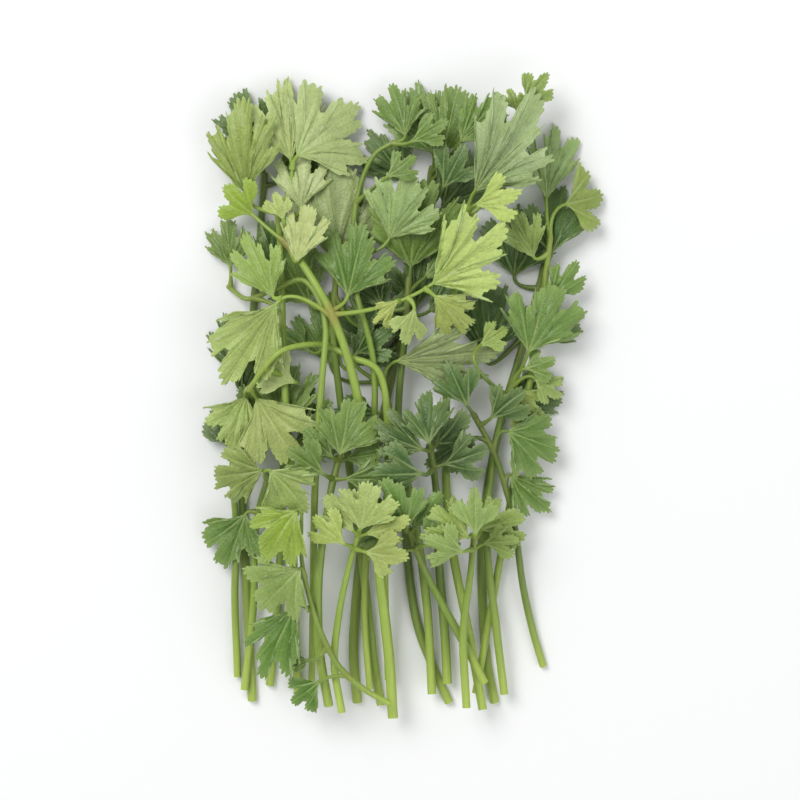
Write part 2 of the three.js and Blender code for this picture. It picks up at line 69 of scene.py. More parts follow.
back = Vector((0, math.sin(VIEW_LEAN), math.cos(VIEW_LEAN)))
bpy.ops.object.camera_add(location=VIEW_MIDDLE + back * VIEW_DISTANCE)
camera = bpy.context.object
camera.rotation_euler = (-VIEW_LEAN, 0, 0)
camera.data.sensor_width = SENSOR
camera.data.lens = SENSOR * VIEW_DISTANCE / VIEW_WIDTH
bpy.context.scene.camera = camera
print("lens", round(camera.data.lens, 1), "mm")

# %% [markdown]
# ## Floor and light
#
# The bunch lies on a plain pale floor. The floor could be a curved backdrop, but from above a
# plane looks the same.

# %% Floor
FLOOR_SIZE = 3.0
FLOOR_PAPER = {"Base Color": (0.86, 0.86, 0.86, 1), "Roughness": 0.8}

bpy.ops.object.select_all(action="DESELECT")
bpy.ops.mesh.primitive_plane_add(size=FLOOR_SIZE)
floor = bpy.context.object
floor.name = "floor"
paper = bpy.data.materials.new("floor_paper")
paper.use_nodes = True
for name, value in FLOOR_PAPER.items():
    paper.node_tree.nodes["Principled BSDF"].inputs[name].default_value = value
floor.data.materials.append(paper)
print("floor:", FLOOR_SIZE, "m wide")

# %% [markdown]
# Leaves are thin and folded, so a hard lamp would break them up into black and white. One large
# soft lamp gives the blades their shape, a weaker one stands across from it, and a pale sky fills
# the gaps between the leaves. The standard view keeps the greens as they are mixed below.

# %% Lamps and sky
SKY_COLOUR = (0.98, 1.0, 1.0, 1)
SKY_STRENGTH = 0.55

bpy.context.scene.view_settings.view_transform = "Standard"


def soft_lamp(name, place, size, power):
    """A square lamp that looks at the bunch."""
    bpy.ops.object.light_add(type="AREA", location=place)
    lamp = bpy.context.object
    lamp.name = name
    lamp.data.size = size
    lamp.data.energy = power
    lamp.rotation_euler = (-Vector(place)).to_track_quat("-Z", "Y").to_euler()


soft_lamp("key_lamp", (-0.55, 0.65, 1.1), size=0.7, power=13)
soft_lamp("fill_lamp", (0.8, -0.5, 0.9), size=1.0, power=4)

sky = bpy.context.scene.world or bpy.data.worlds.new("sky")
bpy.context.scene.world = sky
sky.use_nodes = True
sky.node_tree.nodes["Background"].inputs["Color"].default_value = SKY_COLOUR
sky.node_tree.nodes["Background"].inputs["Strength"].default_value = SKY_STRENGTH

# %% [markdown]
# ## The layout of the bunch
#
# Each sprig is a row of sizes in millimetres, lowest first. A route runs over the floor from the
# cut end to the fork, and every leaflet gives where its stalk leaves the stem, its base, its tip,
# its width as a share of the full one, and its green. A share over 1, such as 2.7, puts the stalk
# on the stalk of leaflet 2, at 0.7 of its length. The sprigs deep in the pile have their leaflets
# placed by a rule. A climb says how far a stem is lifted at some shares of its route.

# %% Layout
MIDDLE = (-0.21, -0.06)  # middle of the bunch in the frame of these numbers

SPRIGS = [
    dict(radius=1.55, slot="dark_leaf",
         route=[(-13.3, -91.6), (-14.3, -72), (-11, -38), (-4, 2), (4, 38), (9, 68)],
         leaves=[(0.8, -3, 47, -14, 60, 0.95, "deep"), (0.84, 12, 56, 24, 73, 1, "deep"),
                 (0.88, 1, 64, -10, 78, 1.1, "deep"), (1, 9, 72, 1, 91, 0.9, "leaf"),
                 (1, 12, 72, 16, 92, 0.85, "leaf"), (0.96, 17, 75, 28, 89, 0.85, "leaf"),
                 (0.9, 12, 62, 18, 74, 1, "deep"), (0.62, -21, 10, -25, 31, 1, "leaf"),
                 (0.68, -8, 13, -12, 33, 1, "deep"), (0.74, 4, 27, 3, 44, 0.9, "deep")]),
    dict(radius=1.5, slot="dark_leaf",
         route=[(-44.7, -91.1), (-46, -60), (-47.3, -27), (-45, 10), (-42, 42), (-40, 66)],
         leaves=[(0.72, -48, 6, -52.5, 25, 0.8, "deep"), (0.8, -38, 36, -30, 52, 0.9, "deep"),
                 (1, -42, 72, -49, 90, 0.9, "deep"), (0.97, -35, 64, -20, 76, 1, "leaf")]),
    dict(radius=1.55, slot="dark_leaf",
         route=[(27.8, -91.6), (25, -75), (24, -40), (29, -8), (37, 20), (42, 40)],
         leaves=[(0.75, 34, -3, 45, 8, 1, "deep"), (0.8, 25, 12, 26, 36, 1, "deep"),
                 (0.88, 41, 16, 51, 27, 0.9, "deep"), (0.92, 33, 36, 34, 57, 0.9, "deep"),
                 (1, 43.5, 43, 44, 63, 0.85, "deep")]),
    dict(radius=1.45, slot="green_leaf",
         route=[(-6.1, -92.2), (-8.4, -78), (-12, -45), (-17, -8), (-20, 20), (-19, 37)],
         leaves=[(0.82, -27, 14, -38, 22, 0.9, "leaf"), (0.88, -27, 28, -37, 44, 0.9, "leaf"),
                 (0.92, -9, 22, 2, 31, 0.9, "deep"), (0.86, -14, 10, -4, 21, 0.95, "deep"),
                 (1, -19, 40, -18, 73, 1, "sage")]),
    dict(radius=1.45, slot="dark_leaf",
         route=[(14.2, -91.6), (9.9, -82), (4, -65), (1, -38), (-1, -5), (1, 20), (2, 36)],
         leaves=[(0.88, 8, 26, 20, 35, 0.9, "deep"), (0.9, -6, 28, -15, 40, 0.9, "deep"),
                 (0.95, 7, 36, 21, 46, 1, "leaf"), (1, 2.6, 39, 4.5, 65, 1, "leaf")]),
    dict(radius=1.2, slot="green_leaf",
         route=[(-49, -83.5), (-49.5, -60), (-49, -38), (-50, -20), (-48, -4)],
         leaves=[(0.82, -51, -14, -56, -1.5, 0.75, "deep"), (1, -47, 1, -39, 17, 0.85, "deep")]),
    dict(radius=1.2, slot="light_leaf",
         route=[(22, -88), (27, -60), (33, -25), (38, 8), (41, 30), (43, 48)],
         leaves=[(0.88, 43, 30, 51, 41, 0.85, "leaf"), (0.94, 38, 42, 32, 56, 0.9, "fresh"),
                 (1, 42, 59, 43, 80, 0.85, "grey"), (1, 47.5, 57, 59.5, 59.5, 1.4, "fresh")]),
    dict(radius=1.4, slot="light_leaf",
         route=[(24, -92), (20, -70), (14, -38), (13, -6), (14, 22), (17, 44), (19, 54)],
         leaves=[(1, 33, 84, 30.5, 90.5, 0.9, "fresh"), (1.8, 35, 86.5, 42, 94.5, 0.9, "fresh"),
                 (1, 21, 61, 41, 87, 0.75, "grey"), (1, 21, 57, 34, 61, 1.05, "sunny")]),
    dict(radius=1.4, slot="green_leaf",
         route=[(9, -88), (7.5, -62), (4, -36), (-1, -12), (-6, 6)],
         leaves=[(0.9, -7, -4, -20, -3, 0.85, "deep"), (1, -1, 12, 28, 16, 0.75, "sage"),
                 (1, -13, 14, -2, 22, 0.85, "deep")]),
    dict(radius=1.4, slot="green_leaf",
         route=[(-39.4, -86.4), (-37.5, -68), (-36, -45), (-35, -20), (-34, -8)],
         crown=17, green="leaf", climb=[(0.55, 0), (0.8, 0.8), (1, 3)]),
    dict(radius=1.3, slot="green_leaf",
         route=[(30.5, -88), (28, -68), (25, -40), (28, -12), (33, 6)],
         leaves=[(0.9, 32.2, 2.9, 42, -6, 1.1, "fresh"), (0.96, 38.9, 6.5, 47, 0.5, 1, "fresh"),
                 (0.98, 36, 9.5, 44.5, 12.5, 1, "leaf"), (0.92, 22.9, 16.5, 31, 21.5, 0.9, "fresh"),
                 (1, 36.8, 14.5, 42.5, 35, 1.1, "leaf")]),
    dict(radius=1.05, slot="green_leaf",
         route=[(-9.5, -86), (-11, -60), (-9, -25), (-8, 10), (-13.5, 34),
                (-14, 50), (-12, 62), (-8, 71), (-2, 75)],
         leaves=[(0.56, -3.5, 47.5, 5, 66, 0.95, "sage"), (0.7, -4, 65, 4, 71, 0.9, "leaf"),
                 (1, 1, 77, -2, 92, 0.9, "leaf"), (1, 3, 75, 13, 81, 0.9, "leaf")]),
    dict(radius=1.4, slot="pale_leaf",
         route=[(-31, -89), (-32, -62), (-32, -28), (-34, 8), (-35, 38), (-36, 56)],
         leaves=[(0.97, -29.3, 56, -29.5, 73, 1, "pale"), (1, -32, 70, -37, 93, 1.05, "pale"),
                 (2.8, -30, 71, -13, 86, 1.15, "pale"), (1, -45, 60, -48, 88, 0.65, "fresh")]),
    dict(radius=1.15, slot="pale_leaf", climb=[(0.56, 0), (0.75, 8.6), (0.95, 9.2), (1, 7.5)],
         route=[(-4, -84), (-5, -50), (-4, -14), (-6, 8), (-15, 13.5),
                (-24, 17), (-33.5, 16), (-39, 11), (-44, 4)],
         leaves=[(0.88, -31, 6, -43, 12, 0.95, "pale"), (1, -45.5, 1, -51, -15, 1.15, "light"),
                 (1, -42, 1, -30, -17, 1.2, "light")]),
    dict(radius=1.1, slot="light_leaf",
         route=[(-27, -88), (-26, -60), (-25, -25), (-23, 5), (-22, 24),
                (-28, 35), (-37, 32.5), (-45, 29.6), (-51, 33)],
         leaves=[(0.84, -36, 25, -40.5, 14, 0.8, "light"), (1, -50, 39, -51, 54, 0.75, "leaf")]),
    dict(radius=1.65, slot="pale_leaf", blush=0.5,
         route=[(-2.6, -94.5), (-3.8, -75), (-7, -45), (-10, -15),
                (-14, 8), (-19.7, 25.2), (-27, 38), (-34.2, 47)],
         leaves=[(0.73, -15.5, 31, -10.5, 52, 1, "vivid"), (0.71, -36, 28.5, -51, 5, 0.75, "light"),
                 (2.8, -37, 31, -44.5, 48.5, 0.85, "fresh"),
                 (0.96, -30, 41, -26.5, 58, 0.85, "pale"),
                 (1, -34, 53, -36.5, 61, 0.85, "light"), (1, -43, 54, -51.5, 62, 1.15, "bright"),
                 (0.72, 9, 34.5, 30, 49, 1, "sunny"), (7.9, 9.5, 31, 20.5, 21.5, 1, "light"),
                 (7.6, -1.5, 29.5, -8.5, 23.5, 0.9, "light"),
                 (7.7, 3.5, 27, 0.5, 16.5, 0.9, "light")]),
    dict(radius=1.2, slot="dark_leaf",
         route=[(42.3, -80.6), (38.9, -69), (35.7, -54.5), (33, -36), (28, -18), (21, -4)],
         leaves=[(0.72, 32, -22, 44, -33.5, 0.9, "leaf"), (0.84, 31, -9, 47.5, -15, 1, "leaf"),
                 (0.88, 18, -12, 7, -20, 0.9, "deep"), (0.95, 26, -5, 35, 5, 1, "deep"),
                 (1, 19, -1, 13, 12, 1, "deep")]),
    dict(radius=1.5, slot="green_leaf",
         route=[(-21.5, -89.9), (-24, -72), (-24, -50), (-21, -28), (-18, -15)],
         crown=16, green="leaf"),
    dict(radius=1.5, slot="dark_leaf",
         route=[(13.6, -85), (12.8, -70), (11, -48), (10, -26), (8, -12)],
         crown=16, green="deep", climb=[(0.55, 0), (0.8, 2.2), (1, 8)]),
    dict(radius=1.35, slot="green_leaf",
         route=[(24.4, -83.5), (18.6, -72), (12, -60), (6, -48), (2, -36)],
         crown=15, green="leaf", climb=[(0.35, 0), (0.7, 2.5), (1, 9)]),
    dict(radius=1.3, slot="light_leaf",
         route=[(19, -90), (18, -68), (20, -50), (21, -38)],
         crown=15, green="fresh", climb=[(0.35, 0), (0.7, 2.8), (1, 10)]),
    dict(radius=1.2, slot="pale_leaf",
         route=[(-17.5, -90.8), (-19.7, -76), (-18, -60), (-15, -46), (-12, -36)],
         crown=14, green="light", climb=[(0.4, 0), (0.7, 1.1), (1, 4)]),
    dict(radius=1.2, slot="light_leaf", climb=[(0.45, 0), (0.75, 3.3), (1, 12)],
         route=[(-46.9, -87), (-44, -62), (-43.5, -45), (-42, -32), (-39, -22)],
         leaves=[(0.72, -46, -34, -52, -50, 0.95, "leaf"),
                 (1, -40.5, -19.5, -55.5, -22, 1.05, "fresh"),
                 (1, -37, -18, -26, -29, 1.2, "fresh")]),
    dict(radius=0.95, slot="green_leaf",
         route=[(-3.8, -87.9), (-11.3, -83), (-18.6, -75.4), (-24, -64), (-28, -50), (-29.5, -38)],
         leaves=[(0.32, -24, -81.5, -33, -89, 1, "vivid"), (0.5, -27, -75, -34, -77, 0.8, "leaf"),
                 (0.66, -31, -59, -42, -80, 0.85, "vivid"),
                 (0.8, -29.5, -47, -41.5, -60, 1.05, "fresh"),
                 (1, -30, -29.5, -41, -43, 1.05, "bright")]),
]
leaflets_by_hand = sum(len(sprig.get("leaves", [])) for sprig in SPRIGS)
print(len(SPRIGS), "sprigs,", leaflets_by_hand, "leaflets placed by hand")

# %% [markdown]
# ## Chance that repeats
#
# No two leaflets are alike, yet the bunch must come out the same each time. A small generator of
# random numbers with a seed for each leaflet does that, and it needs no library.


# %% Random numbers
def random_from(seed):
    """Numbers from 0 to 1 that are always the same for the same seed."""
    state = (seed + 1) * 2654435761 % 2**32
    while True:
        state = (state * 1664525 + 1013904223) % 2**32
        yield state / 2**32


def mix(a, b, share):
    """From a to b, by a share of the way."""
    return a + (b - a) * share


twice = [round(next(random_from(7)), 3) for _ in range(2)]
print("seed 7 starts with", twice[0], "and again with", twice[1])

# %% [markdown]
# ## The form of a leaflet
#
# A coriander leaflet is a fan: straight sides leave the base, and the far rim is cut into three to
# five lobes with rounded teeth. The rim is written down in angles off the midrib and reaches from
# the base, which suits a fan better than x and y. Chance then skews it a little, and shuts or opens
# its lobes.

# %% Outline of a leaflet
BROAD_FROM = 14.5  # length of the shortest broad leaflet
# Half of a rim, from beside the midrib to the base: (angle in degrees, share of the length).
BROAD_HALF = [(6, 0.93), (12, 0.95), (18, 0.63), (25, 0.88), (31, 0.85), (38, 0.9),
              (44, 0.63), (50, 0.77), (56, 0.5)]
SMALL_HALF = [(9, 0.9), (18, 0.6), (28, 0.88), (37, 0.83), (46, 0.82), (55, 0.48)]
# Corners of the frame's blade inside its rim.
BROAD_RING = [(-43, 0.42), (-22, 0.42), (0, 0.42), (22, 0.42), (43, 0.42)]
SMALL_RING = [(-37, 0.38), (0, 0.38), (37, 0.38)]
# The lobes on one side of either rim: (angle of its main vein, where the lobe starts and ends).
BROAD_LOBES = [(0, 0, 18), (27, 18, 44), (50, 44, 90)]
SMALL_LOBES = [(0, 0, 18), (32, 18, 90)]
# What chance gives a leaflet, in this order: how much its blade arches, droops at its tip, folds
# and waves, where the wave starts, how much longer its right half is, how far it opens its lobes.
HABIT = {"arch": (0.2, 1), "droop": (-0.2, 1), "fold": (-0.5, 0.8), "wave": (0.4, 1),
         "phase": (0, 2 * math.pi), "skew": (-0.1, 0.1), "opening": (0.85, 1.2)}
RIM_TURN = (-2, 2)  # degrees that a corner of the rim is off its place
RIM_REACH = (0.93, 1.05)


def leaflet_form(row, seed):
    """A leaflet's own length, heading, habit and rim."""
    along, base_x, base_y, tip_x, tip_y, width, green = row
    random = random_from(seed)
    length = math.hypot(tip_x - base_x, tip_y - base_y)
    broad = length >= BROAD_FROM
    half = BROAD_HALF if broad else SMALL_HALF
    form = {"along": along, "length": length, "width": width, "green": green, "broad": broad}
    form["base"] = np.array((base_x, base_y))
    form["heading"] = np.array((tip_x - base_x, tip_y - base_y)) / length
    for name, bounds in HABIT.items():
        form[name] = mix(*bounds, next(random))
    skew, opening = form["skew"], form["opening"]
    rim = [(-a, r * (1 + skew)) for a, r in reversed(half)] + [(0, 1)]
    rim += [(a, r * (1 - skew)) for a, r in half]
    form["rim"] = [(a * opening + mix(*RIM_TURN, next(random)), r * mix(*RIM_REACH, next(random)))
                   for a, r in rim]
    form["ring"] = [(a * opening, r) for a, r in (BROAD_RING if broad else SMALL_RING)]
    form["random"] = random
    return form


first = leaflet_form(SPRIGS[0]["leaves"][0], 100)
print("the first leaflet is", round(first["length"], 1), "mm long")
print("corners of its rim:", len(first["rim"]))

# %% [markdown]
# A blade isn't flat. Its height over its base is one formula of an angle and a reach, so that any
# point of the blade, coarse or fine, can be worked out: the frame's corners as well as the finer
# points that are made from them below.

# %% Rise of a leaflet
# How much a blade can arch, droop at its tip, fold and wave, as shares of its length.
ARCH, DROOP, FOLD, WAVE = 0.1, 0.12, 0.26, 0.08
WAVE_TURNS = 3  # waves in a full circle round the base
FULL_WIDTH = 0.95  # of a leaflet with the width 1, as a share of a true fan's


def on_blade(form, angle, reach):
    """Forwards, left and up from the leaflet's base, in millimetres. Numbers or arrays of them."""
    a = np.radians(angle)
    up = ARCH * form["arch"] * np.sin(np.pi * np.minimum(reach, 1))
    up = up - DROOP * form["droop"] * reach**2
    up = up + FOLD * form["fold"] * np.abs(np.sin(a)) * reach
    up = up + WAVE * form["wave"] * reach**2 * np.sin(WAVE_TURNS * a + form["phase"])
    forwards = form["length"] * reach * np.cos(a)
    left = form["length"] * reach * np.sin(a) * form["width"] * FULL_WIDTH
    return forwards, left, form["length"] * up


def in_plan(form, forwards, left):
    """The place over the floor of a point so far forwards and left of the leaflet's base."""
    hx, hy = form["heading"]
    return form["base"][0] + forwards * hx - left * hy, form["base"][1] + forwards * hy + left * hx


print("its tip is", round(on_blade(first, 0, 1)[2], 1), "mm over its base")

# %% [markdown]
# ## The route of a stem
#
# A stem swings gently between the few points of its row. A Catmull-Rom curve passes through every
# point and needs no handles, so the row stays a plain list.

# %% Stem route and thickness
STEM_TIP_SHARE = 0.62  # of the full radius, at the fork
STEM_TAPER_FROM = 0.3
LAST_ROOT = 0.985  # share of the route where the stalks of the fork start


def route_at(points, share):
    """Places along a route, for an array of shares of it."""
    points = np.array(points, float)
    ahead = 2 * points[0] - points[1]
    behind = 2 * points[-1] - points[-2]
    padded = np.vstack([ahead, points, behind])
    place = np.clip(np.atleast_1d(share), 0, 1) * (len(points) - 1)
    step = np.minimum(place.astype(int), len(points) - 2)
    t = (place - step)[:, None]
    p0, p1, p2, p3 = (padded[step + n] for n in range(4))
    m1, m2 = (p2 - p0) / 2, (p3 - p1) / 2
    return p1 + m1 * t + (3 * (p2 - p1) - 2 * m1 - m2) * t**2 + (2 * (p1 - p2) + m1 + m2) * t**3


def stem_radius(sprig, share):
    """Full at the cut end, thinner at the fork."""
    thin = np.maximum(0, (share - STEM_TAPER_FROM) / (1 - STEM_TAPER_FROM))
    return sprig["radius"] * mix(1, STEM_TIP_SHARE, thin)


print("first fork:", route_at(SPRIGS[0]["route"], 1.0).round(1))

# %% [markdown]
# ## Leaflets placed by rule
#
# The crown of a hidden sprig is one leaflet at the fork and two pairs below it, each turned and
# sized a little by chance.


# %% Crowns by rule
# Share of the stem, turn off its heading in degrees, share of the full length, length of stalk.
PAIRS = [(0.97, 58, 0.9, 2.5), (0.86, 72, 0.8, 3.5)]
TOP_STALK = 1.5
CROWN_TURN = (-0.15, 0.15)  # in radians
CROWN_SIZE = (0.85, 1.15)
CROWN_WIDTH = (0.95, 1.15)


def crown_by_rule(sprig, seed):
    """Rows for the five leaflets of a hidden sprig."""
    random = random_from(seed)
    end, before = route_at(sprig["route"], 1.0)[0], route_at(sprig["route"], 0.94)[0]
    heading = math.atan2(end[1] - before[1], end[0] - before[0])

    def row(along, turn, length, stalk):
        x, y = route_at(sprig["route"], along)[0]
        angle = heading + math.radians(turn) + mix(*CROWN_TURN, next(random))
        x, y = x + stalk * math.cos(angle), y + stalk * math.sin(angle)
        size = length * mix(*CROWN_SIZE, next(random))
        width = mix(*CROWN_WIDTH, next(random))
        tip = x + size * math.cos(angle), y + size * math.sin(angle)
        return (along, x, y, *tip, width, sprig["green"])

    rows = []
    for along, turn, share, stalk in PAIRS:
        rows.append(row(along, turn, share * sprig["crown"], stalk))
        rows.append(row(along, -turn, share * sprig["crown"], stalk))
    rows.append(row(1, 0, sprig["crown"], TOP_STALK))
    return rows


for number, sprig in enumerate(SPRIGS, 1):
    rows = sprig.get("leaves") or crown_by_rule(sprig, 1000 + number)
    sprig["name"] = f"sprig_{number:02d}"
    sprig["forms"] = [leaflet_form(row, 100 * number + n) for n, row in enumerate(rows)]
print("leaflets in all:", sum(len(sprig["forms"]) for sprig in SPRIGS))

# %% [markdown]
# ## Reading heights from the frame
#
# The plan of every leaflet is known from its row, but its height depends on the pile under it, and
# the frame has worked that out. Two look-ups bring it over: a tree of the frame's corners, which
# finds those at a known place over the floor, and a tree of its faces, which a ray from below meets
# first at the underside of the stem.

# %% Relief of a sprig in the frame
NEAR = 0.03  # how far apart two places over the floor may be and still count as the same
BELOW = 10  # how far under the floor a ray starts


class Relief:
    """One node of the frame, asked for heights over the floor in millimetres."""

    def __init__(self, name):
        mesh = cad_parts[name].data
        corners = np.empty(len(mesh.vertices) * 3)
        mesh.vertices.foreach_get("co", corners)
        self.corners = corners.reshape(-1, 3) / MM + np.array((*MIDDLE, 0))
        self.plan = KDTree(len(self.corners))
        for n, (x, y, _) in enumerate(self.corners):
            self.plan.insert((x, y, 0), n)
        self.plan.balance()
        triangles = [tuple(face.vertices) for face in mesh.polygons]
        self.faces = BVHTree.FromPolygons(self.corners.tolist(), triangles)

    def heights(self, x, y):
        """Of all corners at this place."""
        return [self.corners[n][2] for _, n, _ in self.plan.find_range((x, y, 0), NEAR)]

    def underside(self, x, y):
        """Of the lowest face over this place."""
        hit = self.faces.ray_cast((x, y, -BELOW), (0, 0, 1))[0]
        return hit.z if hit else math.nan


for sprig in SPRIGS:
    sprig["relief"] = Relief(sprig["name"])
print("corners of the first sprig:", len(SPRIGS[0]["relief"].corners))

# %% [markdown]
# A leaflet in the frame lies at a slope of its own, and other parts of the sprig may cross it. So
# every slope that it could have is tried, and the one that the most corners agree on is taken.

# %% Lie of a leaflet
AGREE = 0.02  # how far apart two heights may be and still count as the same
SLOPES = np.arange(-3, 4) * 0.08  # that a leaflet in the frame can lie at


def lie_of(form, relief):
    """Height of a leaflet's base and its two slopes, as most corners of the frame have it."""
    found = []
    for angle, reach in form["rim"] + form["ring"]:
        forwards, left, up = on_blade(form, angle, reach)
        heights = relief.heights(*in_plan(form, forwards, left))
        if heights:
            found.append((forwards, left, max(heights) - up))
    found = np.array(found)
    best = (0, None)
    for ahead in SLOPES:
        for aside in SLOPES:
            bases = found[:, 2] - ahead * found[:, 0] - aside * found[:, 1]
            agree = int((np.abs(bases - np.median(bases)) < AGREE).sum())
            if agree > best[0]:
                best = (agree, (np.median(bases), ahead, aside))
    return best[1], best[0] / len(found)


shares = []
for sprig in SPRIGS:
    for form in sprig["forms"]:
        form["lie"], share = lie_of(form, sprig["relief"])
        shares.append(share)
print("share of corners that agree:", round(np.mean(shares), 3), "least", round(min(shares), 2))

# %% [markdown]
# ## Greens
#
# Leaflets on top are a bright yellow-green, those deep in the pile a dark green that is partly
# their own colour and partly painted shade, and those that show their backs a dull sage. Each green
# is mixed once, by its name. Screens show colours on a curve, so a picked colour is turned to the
# linear one that Blender works with.


# %% Greens of leaflets and stems
def linear(red, green, blue):
    """A colour of 0 to 255 on the screen, as Blender's linear one."""
    share = np.array((red, green, blue)) / 255
    return np.where(share <= 0.04045, share / 12.92, ((share + 0.055) / 1.055) ** 2.4)


LEAF_GREENS = {
    # deep: the dark green of the leaflets low in the pile, partly their own colour and partly
    # painted shade
    "deep": linear(52, 84, 28),
    "leaf": linear(88, 118, 42),
    "vivid": linear(76, 113, 27),
    "fresh": linear(126, 147, 68),
    "light": linear(152, 168, 86),
    "sunny": linear(176, 190, 98),
    "bright": linear(132, 158, 42),
    "pale": linear(166, 178, 118),
    "sage": linear(132, 150, 92),
    "grey": linear(124, 146, 96),
}
STEM_GREENS = {
    "dark_leaf": linear(104, 126, 56),
    "green_leaf": linear(122, 146, 62),
    "light_leaf": linear(132, 156, 66),
    "pale_leaf": linear(142, 166, 72),
}
STEM_FOOT = linear(172, 192, 88)
BLUSH = linear(150, 92, 66)
print(len(LEAF_GREENS), "greens for leaflets")

# %% [markdown]
# ## Stems and stalks
#
# A stem is a ribbed rod that thins towards its fork, and its stalks leave from a swollen,
# slightly red joint. A curve with a profile of its own draws such a rod: every point of the curve
# has its radius, and the profile brings the ribs. Turned into a mesh, the rod's cut end can be
# worked on face by face.

# %% Ribbed profile
RIBS = 9
RIB_DEPTH = 0.09

bpy.ops.object.select_all(action="DESELECT")
bpy.ops.mesh.primitive_circle_add(vertices=2 * RIBS, radius=1)
profile = bpy.context.object
profile.name = "rib_profile"
for n, point in enumerate(profile.data.vertices):
    point.co *= 1 - RIB_DEPTH * (n % 2)
bpy.ops.object.convert(target="CURVE")
print("profile has", len(profile.data.splines[0].points), "points")

# %% [markdown]
# Blender's operators act on whatever is selected and active, as they do by hand, so each step
# begins by choosing what it works on. A small helper keeps that out of the way.


# %% Choose what to work on
def only(*objects):
    """Selects these objects alone, and makes the first one active."""
    bpy.ops.object.select_all(action="DESELECT")
    for thing in objects:
        thing.select_set(True)
    bpy.context.view_layer.objects.active = objects[0]
    return objects[0]


print("active object:", only(profile).name)

# %% [markdown]
# The line of a stem follows its route over the floor, and its height is read from the frame. A
# stem is stiff, so the heights are averaged over a short length, which also takes the frame's
# corners out. The leaflets of a few deep sprigs rest high up on the pile, and there the last part
# of the stem climbs towards them, so that no stalk has to stand up like a post. One bright stem
# arches over a leaflet.

# %% Line of a stem
FLAT_SIDE = math.cos(math.pi / 6)  # from a six-sided stem's middle to its underside, in radii
ROUTE_STEPS = 200  # for the length of a route
STEM_SPACING = 2.4
STIFFNESS = 4  # points on each side that a height is averaged over
CLIMB_STIFFNESS = 3
ROUND = 0.93  # a round stem's radius, as a share of a six-sided one's
SWELLING = {"fork": 0.28, "side": 0.16, "length": 2.6}
NO_CLIMB = [(0, 0), (1, 0)]


def smoothed(values, reach):
    """Each value averaged with its neighbours on both sides, the ends kept."""
    padded = np.pad(values, reach, mode="reflect", reflect_type="odd")
    kernel = np.hanning(2 * reach + 3)[1:-1]
    return np.convolve(padded, kernel / kernel.sum(), mode="valid")


def filled(values):
    """Gaps in a row of heights closed from both sides."""
    known = ~np.isnan(values)
    places = np.arange(len(values))
    return np.interp(places, places[known], values[known])


def stem_line(sprig):
    """Points of a stem's middle line, in millimetres, its radii, and its shares of the route."""
    rough = route_at(sprig["route"], np.linspace(0, 1, ROUTE_STEPS))
    length = np.linalg.norm(np.diff(rough, axis=0), axis=1).sum()
    shares = np.linspace(0, 1, math.ceil(length / STEM_SPACING) + 1)
    plan = route_at(sprig["route"], shares)
    radii = stem_radius(sprig, shares)
    undersides = np.array([sprig["relief"].underside(x, y) for x, y in plan])
    heights = smoothed(filled(undersides + FLAT_SIDE * radii), STIFFNESS)
    radii = ROUND * radii
    climb = np.interp(shares, *zip(*sprig.get("climb", NO_CLIMB)))
    sprig["lift"] = smoothed(climb, CLIMB_STIFFNESS)
    heights = np.maximum(heights, radii) + sprig["lift"]
    sprig["stem_length"] = length
    return np.column_stack([plan, heights]), radii, shares


def swollen(sprig, radii, shares):
    """The stem's radii with a swelling at its fork and at the root of each side stalk."""
    factor = np.ones_like(radii)
    for form in sprig["forms"]:
        if form["along"] > 1:
            continue
        size = SWELLING["fork"] if form["along"] == 1 else SWELLING["side"]
        off = (shares - min(form["along"], LAST_ROOT)) * sprig["stem_length"] / SWELLING["length"]
        factor = np.maximum(factor, 1 + size * np.exp(-(off**2)))
    return radii * factor


for sprig in SPRIGS:
    sprig["line"], sprig["radii"], sprig["shares"] = stem_line(sprig)
print("highest stem point:", round(max(sprig["line"][:, 2].max() for sprig in SPRIGS), 1), "mm")

# %% [markdown]
# A stalk bows from the stem's side to the base of its leaflet. Its heights are read at the
# corners of the frame's stalk, and they are raised where the stem itself was lifted. One leaflet
# hangs back under a lifted stem, and its stalk dips below the blade first.

# %% Where a stalk runs
BLADE = 0.8  # thickness of a blade in the frame
STALK_WIDTH = 1.3  # in the frame
STALK_HEIGHT = (0.9, 1.1)  # between its upper and lower corners
STALK_STEP = 7  # between its corners along it
STALK_BEND = 0.45  # share of a stalk's reach over which it already heads as its leaflet does
UNDER_BLADE = 1.5  # how deep below its blade the stalk of a leaflet that hangs back runs
DIP_STEPS = 5


def bow(a, b, c, t):
    """A quadratic Bezier curve."""
    t = np.atleast_1d(t)[:, None]
    return (1 - t) ** 2 * a + 2 * t * (1 - t) * b + t**2 * c


def stalk_root(sprig, form):
    """Where a stalk leaves its stem or its parent stalk, its height there, and the stem's lift."""
    along = form["along"]
    if along > 1:
        return (*sprig["forms"][int(along) - 1]["stalk"](along - int(along)), 0)
    place = route_at(sprig["route"], min(along, LAST_ROOT))[0]
    height = float(np.interp(min(along, LAST_ROOT), sprig["shares"], sprig["line"][:, 2]))
    return place, height, float(np.interp(along, sprig["shares"], sprig["lift"]))


